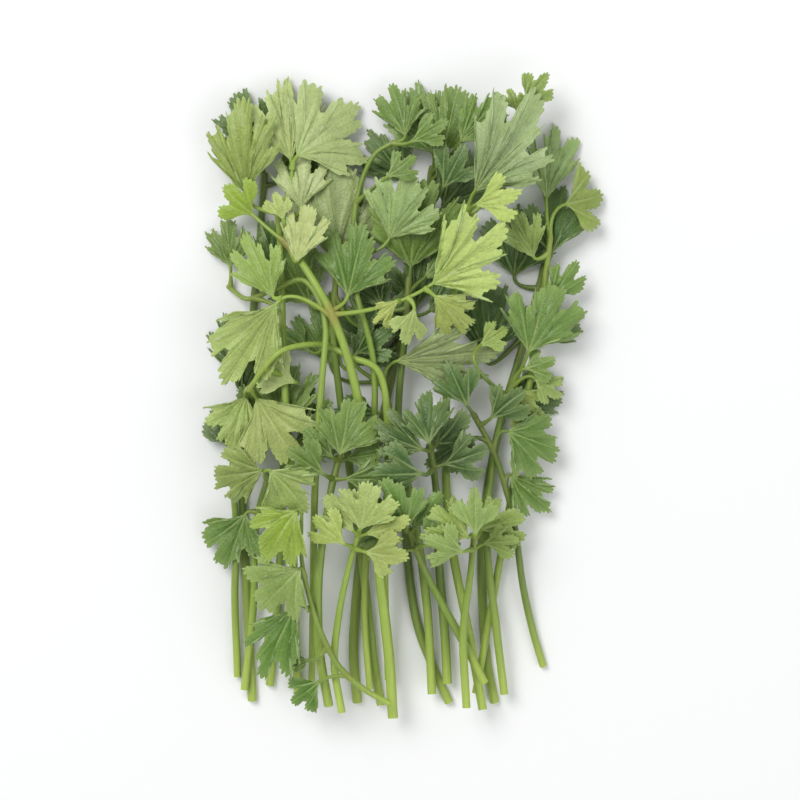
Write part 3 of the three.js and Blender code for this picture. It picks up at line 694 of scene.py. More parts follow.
def stalk_route(sprig, form):
    """The three points that a stalk bows by, over the floor, and its heights in even steps."""
    root, root_height, lift = stalk_root(sprig, form)
    base, heading = form["base"], form["heading"]
    reach = np.linalg.norm(base - root)
    bend = base - STALK_BEND * reach * heading
    hangs_back = (base - root) @ heading < 0 and root_height > form["lie"][0] + 2 * UNDER_BLADE
    count = DIP_STEPS if hangs_back else max(2, math.ceil(reach / STALK_STEP))
    heights = np.full(count + 1, np.nan)
    heights[0], heights[-1] = root_height, form["lie"][0] - BLADE / 2
    for n in range(1, count):
        if hangs_back:
            heights[n] = heights[-1] - UNDER_BLADE
            continue
        place = bow(root, bend, base, n / count)[0]
        tangent = 2 * (1 - n / count) * (bend - root) + 2 * n / count * (base - bend)
        side = np.array((-tangent[1], tangent[0])) / np.linalg.norm(tangent) * STALK_WIDTH / 2
        corners = (place + side, place - side)
        found = [z for corner in corners for z in sprig["relief"].heights(*corner)]
        if found and STALK_HEIGHT[0] < max(found) - min(found) < STALK_HEIGHT[1]:
            heights[n] = (max(found) + min(found)) / 2 + lift * (1 - n / count)
    return (root, bend, base), filled(heights)


side_stalks = sum(form["along"] < 1 for sprig in SPRIGS for form in sprig["forms"])
print("stalks that leave a stem below its fork:", side_stalks)

# %% [markdown]
# Past the base of its leaflet the stalk runs on under the blade as the midrib, thinner and
# thinner. A steep stalk also sways to one side, as nothing that grew is plumb.

# %% Stalks with their midribs
STALK_SPACING = 1.3
FEWEST_POINTS = 5
STALK_RADII = (0.62, 0.46, 0.14)  # at the root, at the blade's base and where the midrib ends
THINNING = 1.6  # how much sooner than at the blade a stalk is at its thinnest
THICK_STEM = 1.6  # radius of a stem whose stalks are the thickest
BUILD = (0.85, 0.3)  # how thick the stalks of a very thin stem are, and what a thick one adds
FLARE = (0.5, 1.6)  # how much thicker a stalk is at its root, and over how many millimetres
SWAY = 0.13  # of a steep stalk, as a share of how far it rises more than it reaches
MIDRIB = (0.05, 0.42)  # the part of the blade's length that the midrib runs on below
MIDRIB_POINTS = 6
THIN_BLADE = 0.32
SUNK = 0.6  # how far the end of a stalk is below the face of its blade, in radii
MIDRIB_SUNK = 0.55  # how far the midrib's middle is below the back of the blade, in radii


def blade_height(form, angle, reach):
    """Height over the floor of a point of a leaflet's upper face."""
    forwards, left, up = on_blade(form, angle, reach)
    base, ahead, aside = form["lie"]
    return base + ahead * forwards + aside * left + up


def midrib(form, radius):
    """Points and radii of what runs on below the blade."""
    under = np.linspace(*MIDRIB, MIDRIB_POINTS)
    thin = mix(radius, STALK_RADII[2], (under / MIDRIB[1]) ** 0.7)
    forwards, left, _ = on_blade(form, 0, under)
    height = blade_height(form, 0, under) - THIN_BLADE - MIDRIB_SUNK * thin
    return np.column_stack([*in_plan(form, forwards, left), height]), thin


def stalk_line(sprig, form):
    """Points and radii of a stalk with its midrib."""
    (root, bend, base), heights = stalk_route(sprig, form)
    steps = np.linspace(0, 1, len(heights))
    form["stalk"] = lambda share: (
        bow(root, bend, base, share)[0],
        float(np.interp(share, steps, heights)),
    )
    reach, climb = np.linalg.norm(base - root), abs(heights[-1] - heights[0])
    t = np.linspace(0, 1, max(FEWEST_POINTS, math.ceil(math.hypot(reach, climb) / STALK_SPACING)))
    sway = SWAY * max(0, climb - reach) * math.cos(form["phase"])
    sideways = (-form["heading"][1], form["heading"][0])
    plan = bow(root, bend, base, t) + sway * np.sin(np.pi * t)[:, None] * sideways
    rise = smoothed(np.interp(t, steps, heights), 3)
    radii = mix(STALK_RADII[0], STALK_RADII[1], np.minimum(1, t * THINNING))
    radii *= BUILD[0] + BUILD[1] * min(1, sprig["radius"] / THICK_STEM)
    radii *= 1 + FLARE[0] * np.exp(-((t * reach / FLARE[1]) ** 2))
    rise[-1] = form["lie"][0] - SUNK * radii[-1]
    below, thin = midrib(form, radii[-1])
    return np.vstack([np.column_stack([plan, rise]), below]), np.concatenate([radii, thin])


for sprig in SPRIGS:
    for form in sprig["forms"]:
        form["stalk_points"], form["stalk_radii"] = stalk_line(sprig, form)
print("stalks:", sum(len(sprig["forms"]) for sprig in SPRIGS))

# %% [markdown]
# ## Sums on sockets
#
# A finish is a small sum over the surface: so much vein, so much speckle, a little paler at the
# rim. Wrapping a socket in a class lets Python's own signs write that sum, and each sign adds its
# node.


# %% A value with signs
class Value:
    """An output of a finish's nodes, for sums with numbers and with other outputs."""

    def __init__(self, finish, socket):
        self.finish, self.socket = finish, socket

    def __add__(self, other):
        return self.finish.node("Math", {"operation": "ADD"}, {0: self, 1: other})

    def __sub__(self, other):
        return self.finish.node("Math", {"operation": "SUBTRACT"}, {0: self, 1: other})

    def __rsub__(self, other):
        return self.finish.node("Math", {"operation": "SUBTRACT"}, {0: other, 1: self})

    def __mul__(self, other):
        return self.finish.node("Math", {"operation": "MULTIPLY"}, {0: self, 1: other})

    def __pow__(self, other):
        return self.finish.node("Math", {"operation": "POWER"}, {0: self, 1: other})

    __radd__ = __add__
    __rmul__ = __mul__


print("a value can be added, taken away, multiplied and raised to a power")

# %% [markdown]
# A finish holds the nodes of one material. One call adds any node, with its settings before its
# sockets, and the calls below it are short names for the few nodes that leaves and stems need.
# The last one is the shader itself, where the bump and what is the same all over come in.


# %% A finish
class Finish:
    """A material whose nodes are added one call at a time."""

    def __init__(self, name):
        self.material = bpy.data.materials.new(name)
        self.material.use_nodes = True
        self.tree = self.material.node_tree
        self.tree.nodes.clear()

    def node(self, kind, settings=None, inputs=None, output=0):
        """Adds a node: its settings first, then the values or links of its sockets."""
        node = self.tree.nodes.new("ShaderNode" + kind)
        for name, setting in (settings or {}).items():
            setattr(node, name, setting)
        for name, value in (inputs or {}).items():
            if isinstance(value, Value):
                self.tree.links.new(value.socket, node.inputs[name])
            else:
                node.inputs[name].default_value = value
        return Value(self, node.outputs[output]) if node.outputs else None

    def place(self):
        """Where a point lies on the piece."""
        return self.node("TexCoord", output="Object")

    def painted(self, name, output="Fac"):
        """A number or colour that is stored on the mesh."""
        return self.node("Attribute", {"attribute_name": name}, output=output)

    def speckle(self, place, per_metre, detail=2.0):
        """Soft spots from 0 to 1."""
        inputs = {"Vector": place, "Scale": per_metre, "Detail": detail}
        return self.node("TexNoise", inputs=inputs, output="Fac")

    def between(self, low, high, value):
        """0 below low, 1 above high, and smooth between them."""
        inputs = {"Value": value, "From Min": low, "From Max": high}
        return self.node("MapRange", {"interpolation_type": "SMOOTHSTEP"}, inputs)

    def blend(self, share, first, second):
        """A colour between two colours."""
        inputs = {0: share, 6: first, 7: second}
        return self.node("Mix", {"data_type": "RGBA"}, inputs, output=2)

    def brighter(self, colour, factor):
        """A colour times a number."""
        return self.node("VectorMath", {"operation": "SCALE"}, {0: colour, "Scale": factor})

    def surface(self, colour, roughness, bump_height, bump_size, **plain):
        """The shader itself. Uniform numbers go straight on its sockets."""
        inputs = {"Height": bump_height, "Strength": 1.0, "Distance": bump_size}
        normal = self.node("Bump", inputs=inputs)
        shader = {"Base Color": colour, "Roughness": roughness, "Normal": normal}
        shader.update({name.replace("_", " "): value for name, value in plain.items()})
        made = self.node("BsdfPrincipled", inputs=shader)
        self.node("OutputMaterial", inputs={"Surface": made})
        return self.material


trial = Finish("trial")
total = 1 - 0.5 * trial.speckle(trial.place(), 1000)
print("a trial sum ends in", total.socket.node.name, "and has", len(trial.tree.nodes), "nodes")
bpy.data.materials.remove(trial.material)

# %% [markdown]
# ## Leaf finish
#
# The green of a leaflet is painted on its points, and so are its veins and how far from the base
# a point lies. The finish adds what is too fine for the mesh: a net of small veins, a mottle of
# darker cells between them, and a soft, slightly waxy gloss. The back of a leaflet is paler and
# duller, and its veins stand out more.

# %% Leaf skin
VEIN_GREEN = (*linear(196, 214, 140), 1)
BACK_GREEN = (*linear(168, 190, 142), 1)
NET_PER_UV = 9.0  # small vein fields to a centimetre
MOTTLES_PER_METRE = 900
CLOUDS_PER_METRE = 130
RIM_PALE = 0.22  # how much of the veins' green there is at the rim
# How pale and dull a side is, how much its veins show, and which way its small cells stand out.
FACE = {"pale": 0.0, "dull": 0.0, "veins": 0.38, "cells": 0.6}
BACK = {"pale": 0.45, "dull": 0.14, "veins": 0.5, "cells": -0.6}
LEAF_BUMP = 0.00012
LEAF_GLOW = {"Subsurface_Weight": 0.12, "Subsurface_Radius": (0.3, 0.6, 0.15),
             "Subsurface_Scale": 0.0006, "Specular_IOR_Level": 0.42}


def leaf_skin(name, side):
    """The finish of a leaflet's face or back."""
    finish = Finish(name)
    place = finish.place()
    green = finish.painted("green", "Color")
    vein = finish.painted("vein")
    reach = finish.painted("reach")
    flat = finish.node("UVMap", {"uv_map": "blade"})
    field = {"Vector": flat, "Scale": NET_PER_UV, "Randomness": 0.9}
    edge = finish.node("TexVoronoi", {"feature": "DISTANCE_TO_EDGE"}, field)
    cell = finish.between(0.0, 0.3, edge)
    mottle = finish.speckle(place, MOTTLES_PER_METRE, 3)
    cloud = finish.speckle(place, CLOUDS_PER_METRE)
    shade = 0.6 + 0.5 * mottle + 0.34 * cloud - 0.06 * cell
    colour = finish.brighter(green, shade)
    colour = finish.blend(reach**5 * RIM_PALE, colour, VEIN_GREEN)
    if side["pale"]:
        colour = finish.blend(side["pale"], colour, BACK_GREEN)
    colour = finish.blend(vein * side["veins"], colour, VEIN_GREEN)
    roughness = 0.34 + 0.18 * mottle + side["dull"]
    relief = 0.5 * mottle + side["cells"] * cell
    return finish.surface(colour, roughness, relief, LEAF_BUMP, **LEAF_GLOW)


leaf_face = leaf_skin("leaf_face", FACE)
leaf_back = leaf_skin("leaf_back", BACK)
print("leaf finishes:", leaf_face.name, "and", leaf_back.name)

# %% [markdown]
# ## Stem finish
#
# A stem is smooth and a little glossy, with long pale streaks along its ribs, and it reddens at
# its joints. The stems all run nearly the same way, so a speckle drawn out along that way gives
# the streaks. The cut end shows a dry, pale pith.

# %% Stem skin and pith
STREAK = (1.0, 0.06, 1.0)  # shrinks the pattern's coordinate along the stems, which draws it out
STREAKS_PER_METRE = 1500
GRAINS_PER_METRE = 1800
PITH_CELLS_PER_METRE = 4000
STEM_BUMP, PITH_BUMP = 0.00006, 0.00008
STEM_GLOW = {"Subsurface_Weight": 0.15, "Subsurface_Radius": (0.6, 0.9, 0.3),
             "Subsurface_Scale": 0.001, "Specular_IOR_Level": 0.45}


def stem_finish(name):
    """The streaked skin of stems and stalks."""
    finish = Finish(name)
    place = finish.place()
    drawn = finish.node("Mapping", {"vector_type": "POINT"}, {"Vector": place, "Scale": STREAK})
    streak = finish.speckle(drawn, STREAKS_PER_METRE)
    grain = finish.speckle(place, GRAINS_PER_METRE)
    shade = 0.8 + 0.3 * streak + 0.12 * grain
    colour = finish.brighter(finish.painted("green", "Color"), shade)
    colour = finish.blend(finish.between(0.6, 0.9, streak) * 0.3, colour, VEIN_GREEN)
    colour = finish.blend(finish.painted("blush"), colour, (*BLUSH, 1))
    relief = 0.6 * streak + 0.3 * grain
    return finish.surface(colour, 0.3 + 0.2 * grain, relief, STEM_BUMP, **STEM_GLOW)


def pith_finish(name):
    """The dry, pale middle of a cut end."""
    finish = Finish(name)
    cells = finish.speckle(finish.place(), PITH_CELLS_PER_METRE, 1)
    dry = finish.blend(cells, (*linear(206, 214, 160), 1), (*linear(160, 172, 104), 1))
    return finish.surface(dry, 0.6 + 0.2 * cells, cells, PITH_BUMP)


stem_skin = stem_finish("stem_skin")
cut_pith = pith_finish("cut_pith")
print("stem finishes:", stem_skin.name, "and", cut_pith.name)

# %% [markdown]
# All rods of a sprig go into one curve object, each as a spline of its own with a radius at every
# point. The operator turns the curve into a mesh, and its normals are turned outwards.


# %% Stems as meshes
def add_rod(curve, points, radii):
    """Adds one stem or stalk as a spline of its own."""
    rod = curve.splines.new("POLY")
    rod.points.add(len(points) - 1)
    for point, place, radius in zip(rod.points, points, radii):
        point.co = (*((place - (*MIDDLE, 0)) * MM), 1)
        point.radius = radius * MM


def stem_mesh(sprig):
    """The stem of a sprig and all its stalks, as one mesh."""
    only(profile)
    bpy.ops.object.add(type="CURVE")
    rods = bpy.context.object
    rods.data.dimensions = "3D"
    rods.data.bevel_mode = "OBJECT"
    rods.data.bevel_object = profile
    rods.data.use_fill_caps = True
    add_rod(rods.data, sprig["line"], swollen(sprig, sprig["radii"], sprig["shares"]))
    for form in sprig["forms"]:
        add_rod(rods.data, form["stalk_points"], form["stalk_radii"])
    only(rods)
    bpy.ops.object.convert(target="MESH")
    bpy.ops.object.mode_set(mode="EDIT")
    bpy.ops.mesh.select_all(action="SELECT")
    bpy.ops.mesh.normals_make_consistent(inside=False)
    bpy.ops.mesh.select_all(action="DESELECT")
    bpy.ops.object.mode_set(mode="OBJECT")
    return bpy.context.object


for sprig in SPRIGS:
    sprig["stem"] = stem_mesh(sprig)
print("points of all stems:", sum(len(sprig["stem"].data.vertices) for sprig in SPRIGS))

# %% [markdown]
# A knife leaves a flat end, and the pith in its middle soon dries back from the skin. The curve's
# cap is made of triangles, so they are dissolved into one face first. Inset twice and pushed in,
# that face gives the rim of skin and the hollow, and the pith gets a finish of its own.


# %% Cut ends
# Shares of the stem's radius.
SKIN_RIM = 0.14
PITH_SLOPE = 0.22
PITH_DEPTH = 0.22
OFF_CUT = (0.1, 2)  # how far a point of the cap may be off the cut, and off its middle


def points_of(mesh):
    """The places of a mesh's points, in millimetres."""
    places = np.empty(len(mesh.vertices) * 3)
    mesh.vertices.foreach_get("co", places)
    return places.reshape(-1, 3) / MM


def sink_cut_end(stem, sprig):
    """Gives a stem its two finishes, and its cut end a rim of skin and a hollow of pith."""
    start, radius = sprig["line"][0], sprig["radii"][0]
    inwards = (sprig["line"][1] - start) / np.linalg.norm(sprig["line"][1] - start)
    off = points_of(stem.data) + (*MIDDLE, 0) - start
    at_cut = np.abs(off @ inwards) < OFF_CUT[0] * radius
    at_cut &= np.linalg.norm(off, axis=1) < OFF_CUT[1] * radius
    for face in stem.data.polygons:
        face.select = all(at_cut[list(face.vertices)])
    for finish in (stem_skin, cut_pith):
        stem.data.materials.append(finish)
    only(stem)
    bpy.ops.object.mode_set(mode="EDIT")
    bpy.ops.mesh.select_mode(type="FACE")
    bpy.ops.mesh.dissolve_faces()
    bpy.ops.mesh.inset(thickness=SKIN_RIM * radius * MM, depth=0)
    stem.active_material_index = 1
    bpy.ops.object.material_slot_assign()
    bpy.ops.mesh.inset(thickness=PITH_SLOPE * radius * MM, depth=0)
    bpy.ops.transform.translate(value=Vector(inwards * PITH_DEPTH * radius * MM))
    bpy.ops.object.mode_set(mode="OBJECT")


for sprig in SPRIGS:
    sprig["stem"].data.materials.clear()
    sink_cut_end(sprig["stem"], sprig)
pith = [sum(face.material_index for face in sprig["stem"].data.polygons) for sprig in SPRIGS]
print("faces of pith at a cut end:", min(pith), "to", max(pith))

# %% [markdown]
# A stem grows paler and yellower towards its foot, which stood in the shade, and it reddens where
# it forks. Both change along the stem and not with the places of its faces, so they are painted
# on its points and read by its finish.

# %% Paint of the stems
BLUSH_REACH = 2.3  # of the red at a joint, in millimetres
FAINT_BLUSH = 0.12  # share of red where a sprig has no blush of its own
FOOT_SHARE = 0.45  # of the stem that is paler
FOOT_MIX = 0.8  # how much of the foot's green there is at the cut end
FOOT_FADE = 1.3


def paint(mesh, green, **numbers):
    """Stores a green and some numbers on every point of a mesh, for its finish."""
    count = len(mesh.vertices)
    layer = mesh.attributes.new("green", "FLOAT_COLOR", "POINT")
    opaque = np.column_stack([green, np.ones(count)])
    layer.data.foreach_set("color", opaque.astype(np.float32).ravel())
    for name, values in numbers.items():
        layer = mesh.attributes.new(name, "FLOAT", "POINT")
        layer.data.foreach_set("value", values.astype(np.float32))


def paint_stem(mesh, sprig):
    """Paints a stem, and gives the strongest blush on it."""
    places = points_of(mesh) + (*MIDDLE, 0)
    line, shares = sprig["line"], sprig["shares"]
    off = np.linalg.norm(places[:, None, :2] - line[None, :, :2], axis=2)
    nearest = np.argmin(off, axis=1)
    foot = np.clip(1 - shares[nearest] / FOOT_SHARE, 0, 1)[:, None] ** FOOT_FADE
    green = mix(STEM_GREENS[sprig["slot"]], STEM_FOOT, FOOT_MIX * foot)
    roots = [form["stalk_points"][0] for form in sprig["forms"] if form["along"] <= 1]
    far = np.min([np.linalg.norm(places - root, axis=1) for root in roots], axis=0)
    blush = sprig.get("blush", FAINT_BLUSH) * np.exp(-((far / BLUSH_REACH) ** 2))
    paint(mesh, green, blush=blush)
    return blush.max()


blushes = [paint_stem(sprig["stem"].data, sprig) for sprig in SPRIGS]
print("strongest blush at a joint:", round(max(blushes), 2))

# %% [markdown]
# ## Leaf blades
#
# A blade starts as a flat grid, one for all broad leaflets and one for all small ones. Its
# columns fan out from the base to the rim, and its rows run across. Each copy of the grid is then
# laid on its leaflet, where the ends of the columns draw the rim.


# %% Blank blades
BROAD_TEETH, SMALL_TEETH = 38, 25
PER_TOOTH = 4  # columns for a tooth
# Where the rows lie between the base and the rim: closer together where the blade bends most.
BROAD_ROWS = (0, 0.06, 0.14, 0.23, 0.33, 0.44, 0.55, 0.66, 0.76, 0.84, 0.91, 0.965, 1)
SMALL_ROWS = (0, 0.1, 0.24, 0.4, 0.56, 0.71, 0.84, 0.94, 1)


def blank_blade(name, teeth, rows):
    """A grid for a blade, with the column of each of its points and its share of the reach."""
    columns = teeth * PER_TOOTH
    bpy.ops.object.select_all(action="DESELECT")
    bpy.ops.mesh.primitive_grid_add(x_subdivisions=columns, y_subdivisions=len(rows) - 1, size=1)
    blank = bpy.context.object
    blank.name = name
    flat = points_of(blank.data) * MM
    column = np.rint((flat[:, 0] + 0.5) * columns).astype(int)
    row = np.rint((flat[:, 1] + 0.5) * (len(rows) - 1)).astype(int)
    print(name, "has", columns, "columns and", len(rows) - 1, "rows")
    return {"object": blank, "teeth": teeth, "column": column, "share": np.array(rows)[row]}


broad_blank = blank_blade("broad_blank", BROAD_TEETH, BROAD_ROWS)
small_blank = blank_blade("small_blank", SMALL_TEETH, SMALL_ROWS)

# %% [markdown]
# From a notch between two lobes to the tip beside it, the rim of the frame's blade is one
# straight line. Here it bulges outwards, which rounds the lobe. Then the whole rim is walked in
# even steps, one for each column, and the notches of many small round teeth are pressed into it.

# %% Rim of a blade
FINE = 24  # steps from a notch to a tip
ROUNDNESS = 2.1  # of a lobe: 1 is a straight line from notch to tip
NOTCH = (0.045, 0.08)  # depth between two small teeth, as a share of the leaflet's length
TOOTH_ROUNDNESS = 1.8
SPREAD = 0.03  # least angle between two columns, in degrees


def lobed_line(form):
    """The rim from its left end round to the right one, with round lobes and no small teeth."""
    rim = form["rim"][::-1]
    parts = []
    for start, end in zip(rim, rim[1:]):
        along = np.arange(FINE) / FINE
        near = along if start[1] < end[1] else 1 - along
        low, high = sorted((start[1], end[1]))
        reach = mix(low, high, 1 - (1 - near) ** ROUNDNESS)
        angle = np.radians(mix(start[0], end[0], along))
        parts.append(np.column_stack([reach * np.cos(angle), reach * np.sin(angle)]))
    return np.vstack(parts)


def toothed_rim(form, teeth):
    """Angles and reaches of the ends of all columns."""
    line = lobed_line(form)
    run = np.append(0, np.cumsum(np.linalg.norm(np.diff(line, axis=0), axis=1)))
    even = np.linspace(0, run[-1], teeth * PER_TOOTH + 1)
    line = np.column_stack([np.interp(even, run, line[:, 0]), np.interp(even, run, line[:, 1])])
    ahead = np.gradient(line, axis=0)
    outwards = np.column_stack([-ahead[:, 1], ahead[:, 0]])
    outwards = outwards / np.linalg.norm(ahead, axis=1)[:, None]
    count = np.arange(len(line))
    off_tip = np.abs(2 * (count % PER_TOOTH) / PER_TOOTH - 1)
    depths = np.array([mix(*NOTCH, next(form["random"])) for _ in range(teeth + 1)])
    depth = depths[(count + PER_TOOTH // 2) // PER_TOOTH] * off_tip**TOOTH_ROUNDNESS
    forwards, left = (line - outwards * depth[:, None]).T
    angles, reaches = np.degrees(np.arctan2(left, forwards)), np.hypot(forwards, left)
    return np.minimum.accumulate(angles + SPREAD * count) - SPREAD * count, reaches


first_angles, first_reaches = toothed_rim(first, BROAD_TEETH)
print("reach of the first rim:", round(first_reaches.min(), 2), "to", round(first_reaches.max(), 2))

# %% [markdown]
# Three or more main veins spread from the base, one to a lobe, and each has its side veins, which
# leave it one after another and bend outwards to the teeth. The columns of the grid can run the
# same way: they are gathered on the main vein of their lobe, the longer the nearer they end to its
# tip.

# %% Columns gathered on the veins
GATHER = 1.9  # how long columns stay with their main vein
NARROW = 0.2  # how much narrower than straight the fan starts


def lobes_of(form):
    """The lobes on one side of a leaflet."""
    return BROAD_LOBES if form["broad"] else SMALL_LOBES


def in_lobe(form, angles):
    """The main vein of each angle's lobe, and how far off it is: 0 on the vein, 1 at a notch."""
    plain = np.abs(angles) / form["opening"]
    vein, off = np.zeros_like(plain), np.ones_like(plain)
    for main, low, high in lobes_of(form):
        inside = (plain >= low) & (plain < high)
        half = np.where(plain > main, high - main, max(main - low, 1))
        vein = np.where(inside, main, vein)
        off = np.where(inside, np.abs(plain - main) / half, off)
    return vein * np.sign(angles) * form["opening"], np.minimum(off, 1)


def gathered(form, angles, share):
    """Turns columns towards their main vein, most at the base and not at all at the rim."""
    vein, off = in_lobe(form, angles)
    turned = vein + (angles - vein) * np.maximum(share, 0.01) ** (GATHER * (1 - off))
    return turned * (1 - NARROW * (1 - share) ** 2)


most = np.abs(gathered(first, first_angles, 0.5) - first_angles).max()
print("halfway up, columns are turned by up to", round(most), "degrees")

# %% [markdown]
# So a vein is what lies along a column, and each point of the blade can tell how near it is to one.
# Every tooth has its vein, and the smaller the tooth, the fainter the vein and the later it parts.

# %% Veins of a blade
VEIN_WIDTH = (0.32, 0.13)  # at the base and at the rim, in millimetres
WIDE_FROM = 20  # length of a leaflet whose veins have their full width
NARROWER = (0.6, 0.4)  # how wide the veins of a tiny leaflet are, and what a large one adds
FADES = 0.5  # how much weaker a vein is at the rim
# How strong a vein is, and at what share of the reach it parts from the main one.
MAIN_VEIN, SIDE_VEIN = (1.0, 0.0), (0.6, 0.25)
TOOTH_VEIN = 0.26
TOOTH_PARTS = (0.3, 0.4)  # at a notch, and how much later in the middle of a lobe
GROWS_OVER = 0.2  # share of the reach over which a vein that has parted gains its strength


def parting(form, rim_angles):
    """The share of the reach where a vein that ends at each angle has left the main one."""
    return TOOTH_PARTS[0] + TOOTH_PARTS[1] * (1 - in_lobe(form, rim_angles)[1])


def vein_list(form, rim_angles):
    """The veins of a leaflet: (angle at the rim, strength, share of the reach where it parts)."""
    rim = form["rim"]
    tips = [here[0] for before, here, after in zip(rim, rim[1:], rim[2:])
            if here[1] > max(before[1], after[1])]
    mains = [side * main * form["opening"] for main, *_ in lobes_of(form) for side in (-1, 1)]
    main_tips = {min(tips, key=lambda tip: abs(tip - main)) for main in mains}
    veins = [(tip, *(MAIN_VEIN if tip in main_tips else SIDE_VEIN)) for tip in tips]
    teeth = rim_angles[PER_TOOTH // 2::PER_TOOTH]
    return veins + [(tooth, TOOTH_VEIN, parts) for tooth, parts in zip(teeth, parting(form, teeth))]


def vein_strength(form, angles, share, reach, veins):
    """How much vein there is at each point: 1 on a main vein, 0 well beside any."""
    size = NARROWER[0] + NARROWER[1] * min(1, form["length"] / WIDE_FROM)
    width = mix(*VEIN_WIDTH, share) * size
    found = np.zeros_like(angles)
    for at_rim, strength, parts in veins:
        line = gathered(form, np.full_like(angles, at_rim), share)
        off = np.radians(angles - line) * reach * form["length"]
        grown = np.clip((share - parts) / GROWS_OVER, 0, 1) if parts else 1
        found = np.maximum(found, strength * grown * np.exp(-((off / width) ** 2)))
    return found * (1 - FADES * share**2)


print("veins of the first leaflet:", len(vein_list(first, first_angles)))

# %% [markdown]
# The sheet swells up a little on both sides of every main vein, its lobes tilt against each
# other, and its rim curls, more on one leaflet than on another. Small pillows stand up between
# the side veins, and a few soft waves in random directions rumple the whole. That is what makes a
# fresh leaf look soft.

# %% Rise of a blade
# Shares of the leaflet's length.
SWELL, CURL = (0.012, 0.028), (-0.045, 0.03)
LOBE_TILT, RIPPLE, PILLOW = 0.022, 0.012, 0.0045
# Shares of the reach: where the rim starts to curl, and over how much pillows and waves set in.
CURL_FROM, SETS_IN = 0.6, 0.3
TILT_OVER = 6  # degrees at a notch
FEWEST_RIPPLES, MORE_RIPPLES = 4, 4  # in a full circle
# In millimetres.
VEIN_GROOVE = 0.07
WAVES = {3.1: 0.05, 4.9: 0.1, 8.3: 0.18}  # length of a wave, and how high it is


def rumple(form, forwards, left):
    """A few soft waves, each in a direction of its own."""
    rise = np.zeros_like(forwards)
    for length, height in WAVES.items():
        turn, phase = 2 * math.pi * next(form["random"]), 2 * math.pi * next(form["random"])
        run = forwards * math.cos(turn) + left * math.sin(turn)
        rise += height * np.sin(2 * math.pi * run / length + phase)
    return rise


def surface_rise(form, angle, share, vein, column, parted):
    """What the fine blade adds to the height of the frame's blade, in millimetres."""
    random = form["random"]
    _, off = in_lobe(form, angle)
    swell = mix(*SWELL, next(random)) * np.sin(np.pi * off) ** 2
    swell = swell * np.sin(np.pi * share**0.8) ** 0.8
    curl = mix(*CURL, next(random)) * (np.maximum(0, share - CURL_FROM) / (1 - CURL_FROM)) ** 2
    tilt = np.zeros_like(angle)
    for side in (-1, 1):
        for _, notch, _ in lobes_of(form)[1:]:
            past = np.clip((side * angle / form["opening"] - notch) / TILT_OVER + 0.5, 0, 1)
            tilt = tilt + mix(-1, 1, next(random)) * LOBE_TILT * past * share**2
    turns = FEWEST_RIPPLES + int(MORE_RIPPLES * next(random))
    phase = 2 * math.pi * next(random)
    ripple = RIPPLE * np.sin(np.radians(angle) * turns + phase) * share**3
    off_vein = np.sin(np.pi * ((column - PER_TOOTH // 2) % PER_TOOTH) / PER_TOOTH)
    pillow = PILLOW * off_vein * np.clip((share - parted) / SETS_IN, 0, 1) * (1 - share**6)
    return form["length"] * (swell + curl + tilt + ripple + pillow) - VEIN_GROOVE * vein


print("waves rumple a blade by up to", round(sum(WAVES.values()), 2), "mm")

# %% [markdown]
# A blade is a copy of its blank with a mesh of its own. Its columns and rows are laid on the
# leaflet, and on its points are painted its green, its veins and how far from the base they lie.
# The UV map is the blade flattened, in centimetres, so that the net of veins has the same size on
# every leaflet.

# %% Blades laid on their leaflets
HALF_BASE = 0.42  # half of the blade's width where it leaves the stalk, in millimetres
TINT = (0.07, 0.03, 0.15)  # how much red, green and blue differ from leaflet to leaflet
BRIGHTNESS = (0.9, 1.1)
TONE = (0.93, 0.12)  # brightness of the green at the base, and how much it gains to the rim


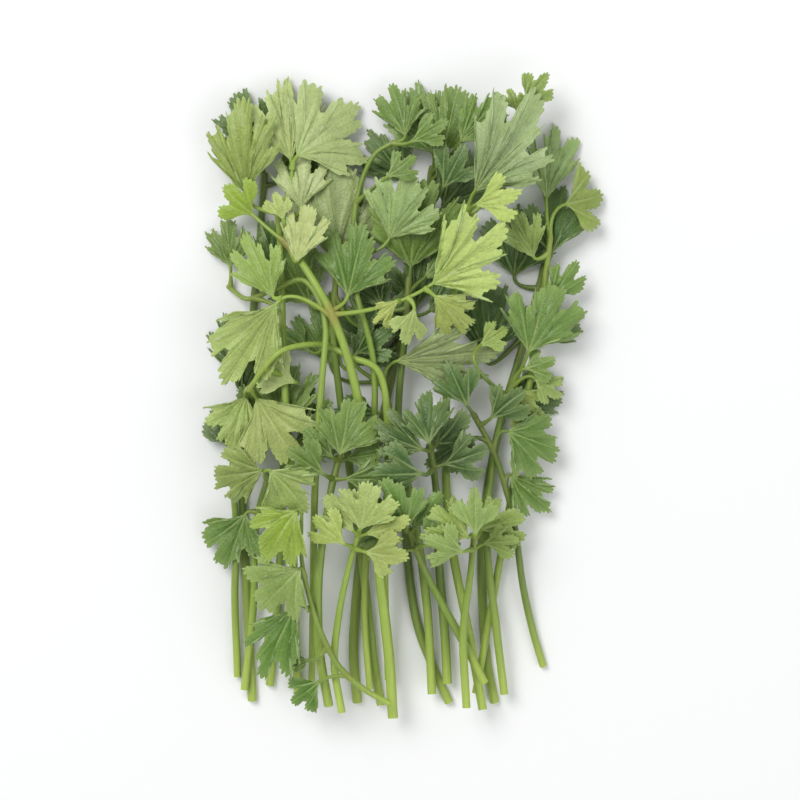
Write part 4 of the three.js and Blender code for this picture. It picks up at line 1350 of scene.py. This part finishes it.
def lay_blade(form):
    """The blade of one leaflet."""
    blank = broad_blank if form["broad"] else small_blank
    rim_angles, rim_reaches = toothed_rim(form, blank["teeth"])
    column, share = blank["column"], blank["share"]
    angle = gathered(form, rim_angles[column], share)
    reach = rim_reaches[column] * share
    vein = vein_strength(form, angle, share, reach, vein_list(form, rim_angles))
    forwards, left, _ = on_blade(form, angle, reach)
    parted = parting(form, rim_angles)[column]
    height = blade_height(form, angle, reach)
    height = height + surface_rise(form, angle, share, vein, column, parted)
    height += rumple(form, forwards, left) * np.clip(share / SETS_IN, 0, 1)
    height = np.maximum(height, THIN_BLADE)  # what comes down to the floor lies on it
    left = left + mix(HALF_BASE, -HALF_BASE, column / column.max()) * (1 - share)

    only(blank["object"])
    bpy.ops.object.duplicate()
    blade = bpy.context.object
    x, y = in_plan(form, forwards, left)
    places = (np.column_stack([x, y, height]) - (*MIDDLE, 0)) * MM
    blade.data.vertices.foreach_set("co", places.ravel())
    corner = np.empty(len(blade.data.loops), int)
    blade.data.loops.foreach_get("vertex_index", corner)
    flat = np.column_stack([left, forwards])[corner] / 10
    blade.data.uv_layers[0].name = "blade"
    blade.data.uv_layers["blade"].data.foreach_set("uv", flat.astype(np.float32).ravel())

    tints = [mix(1 - vary, 1 + vary, next(form["random"])) for vary in TINT]
    green = LEAF_GREENS[form["green"]] * tints * mix(*BRIGHTNESS, next(form["random"]))
    paint(blade.data, green * (TONE[0] + TONE[1] * share[:, None]), vein=vein, reach=share)
    return blade


for sprig in SPRIGS:
    sprig["blades"] = [lay_blade(form) for form in sprig["forms"]]
print("blades:", sum(len(sprig["blades"]) for sprig in SPRIGS))

# %% [markdown]
# A leaf is thin, and still it has an edge and a back. A Solidify modifier gives both to the
# joined blades of a sprig, and it puts the back's finish on the lower side.


# %% Thickness of the blades
def join(objects, name):
    """Joins several objects into the first one."""
    joined = only(*objects)
    bpy.ops.object.join()
    joined.name = joined.data.name = name
    return joined


def foliage_of(sprig):
    """All blades of a sprig as one sheet with a face and a back."""
    foliage = join(sprig["blades"], "foliage")
    foliage.data.materials.clear()
    for finish in (leaf_face, leaf_back):
        foliage.data.materials.append(finish)
    sheet = foliage.modifiers.new("thickness", "SOLIDIFY")
    sheet.thickness = THIN_BLADE * MM
    sheet.offset = -1
    sheet.material_offset = 1
    bpy.ops.object.modifier_apply(modifier="thickness")
    return foliage


for sprig in SPRIGS:
    sprig["foliage"] = foliage_of(sprig)
print("faces of all blades:", sum(len(sprig["foliage"].data.polygons) for sprig in SPRIGS))

# %% [markdown]
# ## The sprigs
#
# The foliage of a sprig is joined with its stem. The piece then stands for its node of the frame
# and moves with the same body. Edges sharper than the limit stay sharp, which keeps the rim of a
# blade crisp.

# %% Make every sprig
SMOOTH_BELOW = math.radians(60)

triangles = []
for sprig in SPRIGS:
    piece = join([sprig["foliage"], sprig["stem"]], "coriander_" + sprig["name"])
    for layer in [uv for uv in piece.data.uv_layers if uv.name != "blade"]:
        piece.data.uv_layers.remove(layer)
    bpy.ops.object.shade_smooth_by_angle(angle=SMOOTH_BELOW)
    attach(piece, "root")
    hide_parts(sprig["name"])
    triangles.append(sum(len(face.vertices) - 2 for face in piece.data.polygons))
print("triangles:", sum(triangles), "most in one sprig:", max(triangles))

# %% [markdown]
# ## Finish
#
# The profile and the blank blades have done their work.

# %% Clear up
only(profile, broad_blank["object"], small_blank["object"])
bpy.ops.object.delete()
